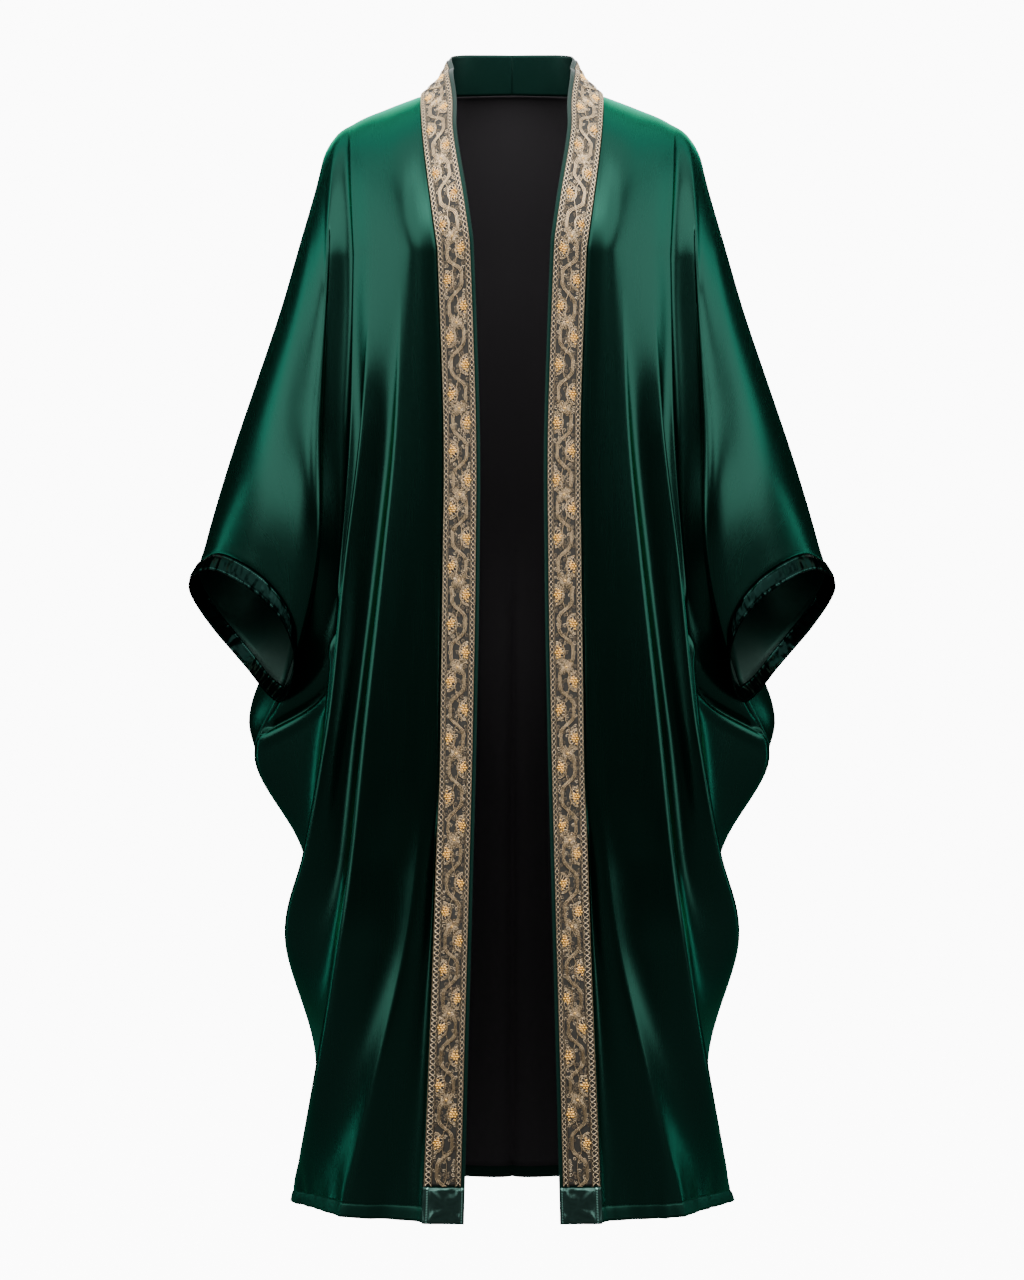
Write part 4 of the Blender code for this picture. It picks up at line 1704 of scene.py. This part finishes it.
class Braid:
    """The embroidered trim of one side: net ribbon, cords and beads."""

    # Thickness of the net, and length of the band that the corner patch takes
    NET_WALL = 0.5
    PATCH = 42.0
    SEED = 11
    # Border cords: how far the outer and the inner one lie inside the border, and their radii
    BORDER_INSETS = (0.4, 0.2)
    BORDER_RADII = (0.3, 0.4)
    # How far they wobble, and radians of that wobble in a millimetre
    WOBBLE = (0.12, 1.7)
    # Chain: how far outside the border's middle it lies, how far it swings, and its cords' radius
    CHAIN_OUT = 0.15
    CHAIN_SWING = 2.1
    CHAIN_RADIUS = 0.38
    # Distance of each line's ends from the braid's, and its step
    BORDER_RUN = (1.0, 2.4)
    CHAIN_RUN = (1.5, 0.8)
    VINE_RUN = (1.0, 1.5)
    SCROLL_MARGIN = 5.0
    # Vine: how much flatter its bends are than a sine, and the share of a cord's offset at the
    # bends, with what the crossings add to it
    VINE_FLAT = 0.14
    VINE_SPREAD = (0.7, 0.5)
    # Scrolls: how unevenly they lie along and across, their turns, radii and cord
    SCROLL_STRAY = (0.5, 0.4)
    SCROLL_TURNS = 1.33
    SCROLL_POINTS = 9
    SCROLL_RADII = (0.4, 2.3)
    SCROLL_CORD = 0.36
    # Dull cord from the first chance up, pale cord below the second, none between
    SCROLL_CHANCE = (0.6, 0.22)
    # Half blossoms: room left at the hem end, distance of their middle inside the border, petals
    # and the angle between two, in degrees
    BLOSSOM_ROOM = 8.0
    BLOSSOM_IN = 1.2
    PETALS = 7
    PETAL_TURN = 26.0
    # Half rings round them: cord, height as a share of the radius, and points. Leaves: cord, points
    RING_CORD = 0.4
    RING_FLAT = 0.86
    RING_POINTS = 15
    LEAF_CORD = 0.34
    LEAF_POINTS = 9
    # Beads on the petals: distance from the middle, how uneven it is, how many stay, and radius
    TIP = (6.6, 0.6)
    TIP_CHANCE = 0.72
    TIP_BEAD = 1.15
    # The bead in a blossom's heart, how far in and up it lies, and the ring of beads round it
    HEART_IN = 2.6
    HEART_UP = 0.4
    HEART_BEAD = 1.5
    RING_BEADS = 6
    RING_BEAD = 1.35
    RING_BEAD_OUT = 3.1
    STAR_LEAVES = 8
    # The net: distance of its first row from the neck, its step, and its lines across
    NET_START = 0.2
    NET_STEP = 3.0
    NET_LINES = 9

    def __init__(self, space: BandSpace, design: BraidDesign) -> None:
        """Takes the strip to lie on and the design.

        Args:
            space: The band as a flat strip.
            design: The braid's measures.
        """
        self.space = space
        self.design = design
        self.end = space.length - self.PATCH
        self.random = np.random.default_rng(self.SEED)
        self.cords = TubeBatch(4)
        self.pale = TubeBatch(4)
        self.fill = TubeBatch(3)
        self.beads = BeadBatch()

    def lines(self, s: np.ndarray, t: np.ndarray, layer: Layer) -> np.ndarray:
        """Lines of the strip from lengths, distances and a layer's height."""
        s, t = np.broadcast_arrays(s, t)
        return np.stack([s, t, np.full(s.shape, layer.value)], axis=-1)

    def places(self, run: tuple[float, float]) -> np.ndarray:
        """Lengths along the braid from a margin at both ends and a step."""
        margin, step = run
        return np.arange(margin, self.end - margin, step)

    def borders(self) -> None:
        """Two cords along each border, and an open chain of links between them."""
        d, half = self.design, BandSpace.HALF
        s = self.places(self.BORDER_RUN)
        outer, inner = self.BORDER_INSETS
        far, turn = self.WOBBLE
        for t, radius in zip((half - outer, half - d.edge + inner), self.BORDER_RADII):
            for side in (-1, 1):
                wobble = far * np.sin(s * turn + t)
                self.fill.add(self.lines(s, side * t + wobble, Layer.BORDER)[None], radius)
        middle = half - 0.5 * d.edge + self.CHAIN_OUT
        s = self.places(self.CHAIN_RUN)
        for side in (-1, 1):
            for phase in (0.0, np.pi):
                t = side * middle + self.CHAIN_SWING * np.sin(np.pi * s / d.link + phase)
                self.pale.add(self.lines(s, t, Layer.CHAIN)[None], self.CHAIN_RADIUS)

    def vine(self) -> None:
        """Three cords that sway round the blossoms, and one that crosses them near the middle."""
        d = self.design
        s = self.places(self.VINE_RUN)
        turn = 2 * np.pi * s / d.repeat
        sway = np.sin(turn) + self.VINE_FLAT * np.sin(3 * turn)
        bend, crossing = self.VINE_SPREAD
        for way, offset, radius in d.vine:
            t = way * d.sway * sway + offset * (bend + crossing * np.cos(turn) ** 2)
            self.cords.add(self.lines(s, t, Layer.VINE)[None], radius)

    def scrolls(self) -> None:
        """Small spirals that fill the ground under the vine, each of a turn and a third."""
        d = self.design
        along_braid = self.places((self.SCROLL_MARGIN, d.scroll_pitch))
        s, row = np.meshgrid(along_braid, np.arange(-2, 3), indexing="ij")
        stray_s, stray_t = self.SCROLL_STRAY
        s = s + 0.5 * d.scroll_pitch * (row % 2) + stray_s * self.random.standard_normal(s.shape)
        t = row * d.scroll_gap + stray_t * self.random.standard_normal(s.shape)
        start = self.random.uniform(0, 2 * np.pi, s.shape)
        hand = np.where(self.random.random(s.shape) < 0.5, -1.0, 1.0)
        turn = np.linspace(0, 1, self.SCROLL_POINTS)
        angle = start[..., None] + hand[..., None] * 2 * np.pi * self.SCROLL_TURNS * turn
        small, growth = self.SCROLL_RADII
        radius = small + growth * turn
        points = self.lines(
            s[..., None] + radius * np.cos(angle), t[..., None] + radius * np.sin(angle), Layer.SCROLLS
        )
        chance = self.random.random(s.shape)
        dull, pale = self.SCROLL_CHANCE
        self.fill.add(points[chance > dull], self.SCROLL_CORD)
        self.pale.add(points[chance < pale], self.SCROLL_CORD)

    def rosettes(self) -> None:
        """Half blossoms against each border, in the bends that the vine leaves free."""
        d = self.design
        half_wave = d.repeat / 2
        count = int((self.end - self.BLOSSOM_ROOM) / half_wave)
        number = np.arange(count)
        side = np.where(number % 2 == 0, -1.0, 1.0)
        middle = side * (BandSpace.HALF - d.edge - self.BLOSSOM_IN)
        anchor = self.lines((number + 0.5) * half_wave, middle, Layer.BLOSSOMS)
        self.arcs(anchor, side, d.rings)
        angle = np.radians(self.PETAL_TURN * (np.arange(self.PETALS) - self.PETALS // 2))
        way = np.stack([
            np.broadcast_to(np.sin(angle), (count, self.PETALS)), -side[:, None] * np.cos(angle)
        ], axis=-1)
        self.leaves(anchor, way, d.petal, self.pale)
        out, stray = self.TIP
        tips = anchor[:, None].repeat(self.PETALS, axis=1)
        tips[..., :2] += way * (out + stray * self.random.standard_normal((count, self.PETALS, 1)))
        chosen = self.random.random((count, self.PETALS)) < self.TIP_CHANCE
        self.beads.add(tips[chosen], self.TIP_BEAD)
        heart = anchor + np.stack([0 * side, -self.HEART_IN * side, 0 * side + self.HEART_UP], axis=-1)
        self.beads.add(heart, self.HEART_BEAD)
        turn = np.linspace(0, 2 * np.pi, self.RING_BEADS, endpoint=False)
        around = np.stack([np.sin(turn), np.cos(turn), 0 * turn], axis=-1)
        ring = heart[:, None] + self.RING_BEAD_OUT * around
        self.beads.add(ring.reshape(-1, 3), self.RING_BEAD)

    def arcs(self, anchor: np.ndarray, side: np.ndarray, radii: tuple[float, ...]) -> None:
        """Half rings round each anchor, open towards its border.

        Args:
            anchor: Middles of the half blossoms.
            side: The border each lies at, -1 or 1.
            radii: Radii of the rings.
        """
        turn = np.linspace(-np.pi / 2, np.pi / 2, self.RING_POINTS)
        for radius in radii:
            s = anchor[:, :1] + radius * np.sin(turn)
            t = anchor[:, 1:2] - side[:, None] * self.RING_FLAT * radius * np.cos(turn)
            self.cords.add(self.lines(s, t, Layer.BLOSSOMS), self.RING_CORD)

    def leaves(self, centre: np.ndarray, way: np.ndarray, leaf: Leaf, batch: TubeBatch) -> None:
        """Leaf outlines that point away from their centres.

        Args:
            centre: Places of the blossoms.
            way: Direction of each leaf in the flat, blossoms by leaves by 2.
            leaf: The outline's measures.
            batch: The cords to add to.
        """
        turn = np.linspace(0, 2 * np.pi, self.LEAF_POINTS, endpoint=False)
        reach = leaf.foot + (leaf.tip - leaf.foot) * (0.5 - 0.5 * np.cos(turn))
        aside = leaf.wide * np.sin(turn)
        normal = np.stack([-way[..., 1], way[..., 0]], axis=-1)
        flat = way[..., None, :] * reach[:, None] + normal[..., None, :] * aside[:, None]
        flat = flat + centre[:, None, None, :2]
        loops = self.lines(flat[..., 0], flat[..., 1], Layer.LEAVES).reshape(-1, len(turn), 3)
        batch.add(loops, self.LEAF_CORD, closed=True)

    def stars(self) -> None:
        """Eight-leaved blossoms on the vine, a few bends apart."""
        d = self.design
        half_wave = d.repeat / 2
        s = np.arange(half_wave * d.star_every, self.end - half_wave, half_wave * d.star_every)
        centre = self.lines(s, np.zeros_like(s), Layer.STARS)
        angle = np.radians((np.arange(self.STAR_LEAVES) + 0.5) * 360.0 / self.STAR_LEAVES)
        way = np.stack([np.cos(angle), np.sin(angle)], axis=-1)
        way = np.broadcast_to(way, (len(s), *way.shape))
        self.leaves(centre, way, d.star_leaf, self.cords)
        self.leaves(centre, way, d.star_vein, self.pale)
        self.beads.add(centre, self.HEART_BEAD)

    def build(self, side: Side, net: bpy.types.Material, threads: list[bpy.types.Material]) -> None:
        """Makes the net ribbon, the cords, the pale cords, the scrolls and the beads.

        Args:
            side: The wearer's side.
            net: Material of the ground.
            threads: Materials of the cords, the pale cords, the scrolls and the beads.
        """
        mirror = np.array([-1.0, 1.0, 1.0]) if side is Side.RIGHT else np.ones(3)
        for part in (self.scrolls, self.borders, self.vine, self.rosettes, self.stars):
            part()
        batches = {
            "cords": self.cords, "pale_cords": self.pale, "scrolls": self.fill, "beads": self.beads,
        }
        for (label, batch), material in zip(batches.items(), threads):
            strip, faces = batch.arrays()
            points = self.space.place(strip) * mirror
            faces = faces[:, ::-1] if side is Side.LEFT else faces
            flat = strip[:, :2][faces].reshape(-1, 2)
            parts = MeshParts(points, faces, flat, np.zeros(len(faces), int), {})
            thing = parts.build(f"braid_{label}_{side.word}", [material])
            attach(thing, "root")
        s = np.arange(self.NET_START, self.end, self.NET_STEP)
        t = np.linspace(-BandSpace.HALF, BandSpace.HALF, self.NET_LINES)
        grid = np.stack([*np.meshgrid(s, t, indexing="ij"), np.zeros((len(s), len(t)))], axis=-1)
        points = self.space.place(grid.reshape(-1, 3)).reshape(grid.shape) * mirror
        far = np.full(grid.shape[:2], FAR)
        surface = Surface(points, grid[..., :2], far, far)
        sheet = Sheet(f"trim_{side.word}").add(surface, side is Side.RIGHT)
        wall = thickened(sheet, Sheet.share_normals([sheet])[0], 0.0, self.NET_WALL)
        ribbon = wall.build(f"braid_net_{side.word}", [net] * 3)
        declare(ribbon, f"trim_{side.word}")


class CornerPatch:
    """Satin square over the hem end of one neck band, stitched down its left and right edge."""

    # Height, steps each way, clearance over the band, inset from its sides, puff and thickness
    SIZE = 42.0
    STEPS = 42
    GAP = 0.3
    INSET = 0.2
    PUFF = 4.4
    WALL = 0.7
    SEED = 5
    # Distance over which it rises from its edges, and the share of its puff without wrinkles
    EDGE = 3.0
    FLOOR = 0.25
    # The stitched groove: distance from the edge, reach, and the share of the height it takes
    GROOVE_AT = 3.6
    GROOVE_REACH = 1.3
    GROOVE_DEPTH = 0.75
    # Waves under the creases: how many, and the range of their pitches
    WAVES = 6
    WAVE_PITCH = (13.0, 27.0)
    # How far the waves bend the two ridges, each ridge's offset and reach, and their share
    BEND = (0.55, 0.45)
    RIDGES = ((1.5, 8.0), (-1.0, 7.0))
    RIDGE_SHARE = 0.72

    def __init__(self, space: BandSpace) -> None:
        """Takes the strip to lie on."""
        self.space = space

    def wrinkles(self, s: np.ndarray, t: np.ndarray) -> np.ndarray:
        """Height of soft creases, from 0 to 1: two bent ridges that cross, over a sum of sines.

        Args:
            s: Lengths along the band.
            t: Distances across it.

        Returns:
            One height a point.
        """
        random = np.random.default_rng(self.SEED)
        angle = random.uniform(0, np.pi, self.WAVES)
        pitch = random.uniform(*self.WAVE_PITCH, self.WAVES)
        phase = random.uniform(0, 2 * np.pi, self.WAVES)
        run = s[..., None] * np.cos(angle) + t[..., None] * np.sin(angle)
        waves = np.sin(2 * np.pi * run / pitch + phase).sum(axis=-1)
        u, v = s - s.mean() + self.BEND[0] * waves, t - t.mean() - self.BEND[1] * waves
        cross = np.maximum(hump(u - v, *self.RIDGES[0]), hump(u + v, *self.RIDGES[1]))
        swell = 0.5 + 0.5 * np.tanh(waves / 2.0)
        return self.RIDGE_SHARE * cross + (1 - self.RIDGE_SHARE) * swell

    def build(self, side: Side, satin: bpy.types.Material) -> None:
        """Args:
            side: The wearer's side.
            satin: Its material.
        """
        reach = TRIM_OUTER - TRIM_INNER
        free_edge = -BandSpace.HALF * (1 + 2 * TRIM_INNER / reach)
        seam_edge = BandSpace.HALF * (1 + 2 * (1 - TRIM_OUTER) / reach)
        s = np.linspace(self.space.length - self.SIZE, self.space.length, self.STEPS + 1)
        t = np.linspace(free_edge + self.INSET, seam_edge - self.INSET, self.STEPS + 1)
        s, t = np.meshgrid(s, t, indexing="ij")
        sides = np.minimum(t - t[:, :1], t[:, -1:] - t)
        edge = np.minimum.reduce([s - s[0], s[-1:] - s, sides])
        height = self.FLOOR + (1 - self.FLOOR) * self.wrinkles(s, t)
        rise = smooth_step(0, self.EDGE, edge) * height * self.PUFF
        rise = rise * (1 - self.GROOVE_DEPTH * hump(sides, self.GROOVE_AT, self.GROOVE_REACH))
        mirror = [-1.0, 1.0, 1.0] if side is Side.RIGHT else [1.0, 1.0, 1.0]
        strip = np.stack([s, t, rise], axis=-1).reshape(-1, 3)
        points = self.space.place(strip, self.GAP).reshape(*s.shape, 3) * mirror
        surface = Surface(points, np.stack([t, -s], axis=-1), np.full(s.shape, FAR), sides)
        name = f"corner_patch_{side.word}"
        sheet = Sheet(name).add(surface, side is Side.RIGHT)
        wall = thickened(sheet, Sheet.share_normals([sheet])[0], 0.0, self.WALL)
        thing = wall.build(f"cloth_{name}", [satin] * 3)
        declare(thing, name)


@dataclass(frozen=True)
class Lamp:
    """An area light, in metres.

    Attributes:
        name: Its name.
        place: Where it stands.
        aim: What it points at.
        size: Its width and height.
        watts: Its power.
        roll: How far it is turned about its own axis, in radians.
    """

    name: str
    place: Triple
    aim: Triple
    size: tuple[float, float]
    watts: float
    roll: float = 0.0

    def on_side(self, side: Side) -> "Lamp":
        """The lamp on one side of the garment, with the side in its name."""
        x, y, z = self.place
        return replace(
            self, name=f"{self.name}_{side.word}", place=(side.value * x, y, z),
            roll=side.value * self.roll,
        )

    def build(self) -> None:
        """Makes the light and turns it to what it lights."""
        data = bpy.data.lights.new(self.name, "AREA")
        data.shape = "RECTANGLE"
        data.size, data.size_y = self.size
        data.energy = self.watts
        thing = bpy.data.objects.new(self.name, data)
        thing.location = self.place
        way = Vector(self.aim) - Vector(self.place)
        turned = way.to_track_quat("-Z", "Y") @ Quaternion((0.0, 0.0, 1.0), self.roll)
        thing.rotation_euler = turned.to_euler()
        bpy.context.scene.collection.objects.link(thing)


LONE_LAMPS = (
    Lamp("overhead", (0.0, -0.1, 2.3), (0.0, -0.1, 0.0), (5.6, 2.6), 165.0),
    Lamp("rear", (0.0, 2.6, 1.9), (0.0, 0.0, -0.3), (4.6, 2.2), 120.0),
    Lamp("front", (0.0, -2.2, 2.45), (0.0, 0.0, -0.1), (1.9, 1.3), 28.0),
)
# Soft boxes on both sides. They are rolled so that the chest reflects their lower edges as an arch
PAIRED_LAMPS = (
    Lamp("key", (1.2, -2.35, 1.95), (0.0, 0.0, -0.2), (2.7, 2.6), 122.0, roll=0.58),
    Lamp("wing", (3.25, -0.85, 0.60), (0.0, 0.0, -0.3), (4.1, 2.1), 137.0, roll=0.70),
    Lamp("strip", (2.4, 0.5, -0.9), (0.0, 0.0, -0.9), (0.25, 1.6), 9.0),
)


class Studio:
    """Floor, lights, world and camera.

    Attributes:
        PHOTO: The photograph's width and height, in pixels.
        DISTANCE: How far the camera stands in front, in metres.
        EYE: Its height.
        MM_PER_PIXEL: Scale of the photograph at the middle of the garment.
        SENSOR: Width of the camera's sensor, in millimetres.
        FLOOR_Z: The floor's height, well under the hem.
        FLOOR_SIZE: Its side.
        FLOOR_GREY: How much light it gives back to the cloth.
        FLOOR_ROUGHNESS: Spread of its shine.
        WHITE: Strength at which the floor and the ground behind show white.
        DIM: Strength of the surroundings as the cloth sees them.
    """

    PHOTO = (1024, 1280)
    DISTANCE = 3.9
    EYE = -0.649
    MM_PER_PIXEL = 1.195
    SENSOR = 36.0
    FLOOR_Z = -1.62
    FLOOR_SIZE = 80.0
    FLOOR_GREY = 0.08
    FLOOR_ROUGHNESS = 0.9
    WHITE = 11.0
    DIM = 0.015

    def build(self) -> None:
        """Sets up everything that isn't part of the object."""
        self.floor()
        self.world()
        for lamp in LONE_LAMPS:
            lamp.build()
        for side in (Side.RIGHT, Side.LEFT):
            for lamp in PAIRED_LAMPS:
                lamp.on_side(side).build()
        self.camera()

    def floor(self) -> None:
        """A pale floor, well under the hem, as no wearer stands in it."""
        bpy.ops.mesh.primitive_plane_add(size=self.FLOOR_SIZE, location=(0.0, 0.0, self.FLOOR_Z))
        floor = bpy.context.object
        floor.name = "floor"
        material, graph, take = new_material("floor")
        take["Base Color"].default_value = (*(self.FLOOR_GREY,) * 3, 1.0)
        take["Roughness"].default_value = self.FLOOR_ROUGHNESS
        take["Emission Color"].default_value = (1.0, 1.0, 1.0, 1.0)
        seen = graph.node("ShaderNodeLightPath").outputs["Is Camera Ray"]
        graph.feed(take["Emission Strength"], graph.math("MULTIPLY", seen, self.WHITE))
        floor.data.materials.append(material)

    def world(self) -> None:
        """White for the camera, dim for the cloth."""
        world = bpy.data.worlds.new("studio")
        bpy.context.scene.world = world
        world.use_nodes = True
        graph = Graph(world.node_tree)
        take = world.node_tree.nodes["Background"].inputs
        seen = graph.node("ShaderNodeLightPath").outputs["Is Camera Ray"]
        level = graph.math("ADD", graph.math("MULTIPLY", seen, self.WHITE), self.DIM)
        graph.feed(take["Strength"], level)
        take["Color"].default_value = (1.0, 1.0, 1.0, 1.0)

    def camera(self) -> None:
        """The photograph's view: level, in front, on the garment's centre line."""
        data = bpy.data.cameras.new("photo_view")
        data.sensor_width = self.SENSOR
        focal = self.DISTANCE / (self.MM_PER_PIXEL * MM)
        data.lens = self.SENSOR * focal / self.PHOTO[1]
        thing = bpy.data.objects.new("photo_view", data)
        thing.location = (0.0, -self.DISTANCE, self.EYE)
        thing.rotation_euler = (np.pi / 2, 0.0, 0.0)
        bpy.context.scene.collection.objects.link(thing)
        bpy.context.scene.camera = thing


class Garment:
    """The whole abaya: dresses the pattern's sheets and adds what is sewn on."""

    def __init__(self) -> None:
        """Cuts the pattern and makes the finishes."""
        self.pattern = Pattern()
        self.effects = Effects()
        self.velvet = VELVET.made(self.effects, HEM_STITCH)
        self.reverse = VELVET_BACK.made(self.effects)
        self.band = BAND_VELVET.made(self.effects)
        self.satin = SATIN.made(self.effects, EDGE_STITCH)
        self.patch_satin = PATCH_SATIN.made(self.effects, EDGE_STITCH)
        self.lining = LINING_CLOTH.made(self.effects)
        self.net, self.thread = NET.made(), THREAD.made()
        self.pale, self.dull, self.bead = PALE_THREAD.made(), DULL_THREAD.made(), BEAD.made()

    def shell(
        self, name: str, relief: Relief, materials: list[bpy.types.Material]
    ) -> bpy.types.Object:
        """One shell of cloth.

        Args:
            name: Its node's name.
            relief: How its outer face leaves the even thickness.
            materials: Those of the outer face, the inner face and the rim.

        Returns:
            The declared object.
        """
        sheet, normals = self.pattern.sheets[name], self.pattern.normals[name]
        swing = relief.swing(sheet)
        wall = thickened(sheet, normals, swing, swing + relief.outer(sheet))
        thing = wall.build(f"cloth_{name}", materials)
        declare(thing, name)
        return thing

    def laid_on_band(self, side: Side) -> None:
        """The embroidered trim and the corner patch of one side, on their neck band.

        Args:
            side: The wearer's side.
        """
        band = self.pattern.band
        normals = self.pattern.normals["neck_band_left"].reshape(band.points.shape)
        space = BandSpace(band, normals)
        threads = [self.thread, self.pale, self.dull, self.bead]
        Braid(space, BraidDesign()).build(side, self.net, threads)
        CornerPatch(space).build(side, self.patch_satin)

    def build(self) -> None:
        velvet = [self.velvet, self.reverse, self.velvet]
        for side in Side:
            front = self.shell(f"front_{side.word}", FRONT_RELIEF, velvet)
            band = self.shell(f"neck_band_{side.word}", BAND_RELIEF, [self.band] * 3)
            cuff = self.shell(f"cuff_{side.word}", CUFF_RELIEF, [self.satin] * 3)
            self.laid_on_band(side)
        back = self.shell("back", BACK_RELIEF, velvet)
        sheet, normals = self.pattern.sheets["lining_back"], self.pattern.normals["lining_back"]
        wall = thickened(sheet, normals, -LAID_GAP - LINING_WALL, -LAID_GAP)
        lining = wall.build("cloth_lining_back", [self.lining] * 3)
        declare(lining, "lining_back")


def main() -> None:
    """Builds the garment and its studio."""
    logging.basicConfig(level=logging.INFO, format="%(name)s %(message)s")
    Garment().build()
    Studio().build()


if __name__ == "__main__":
    main()
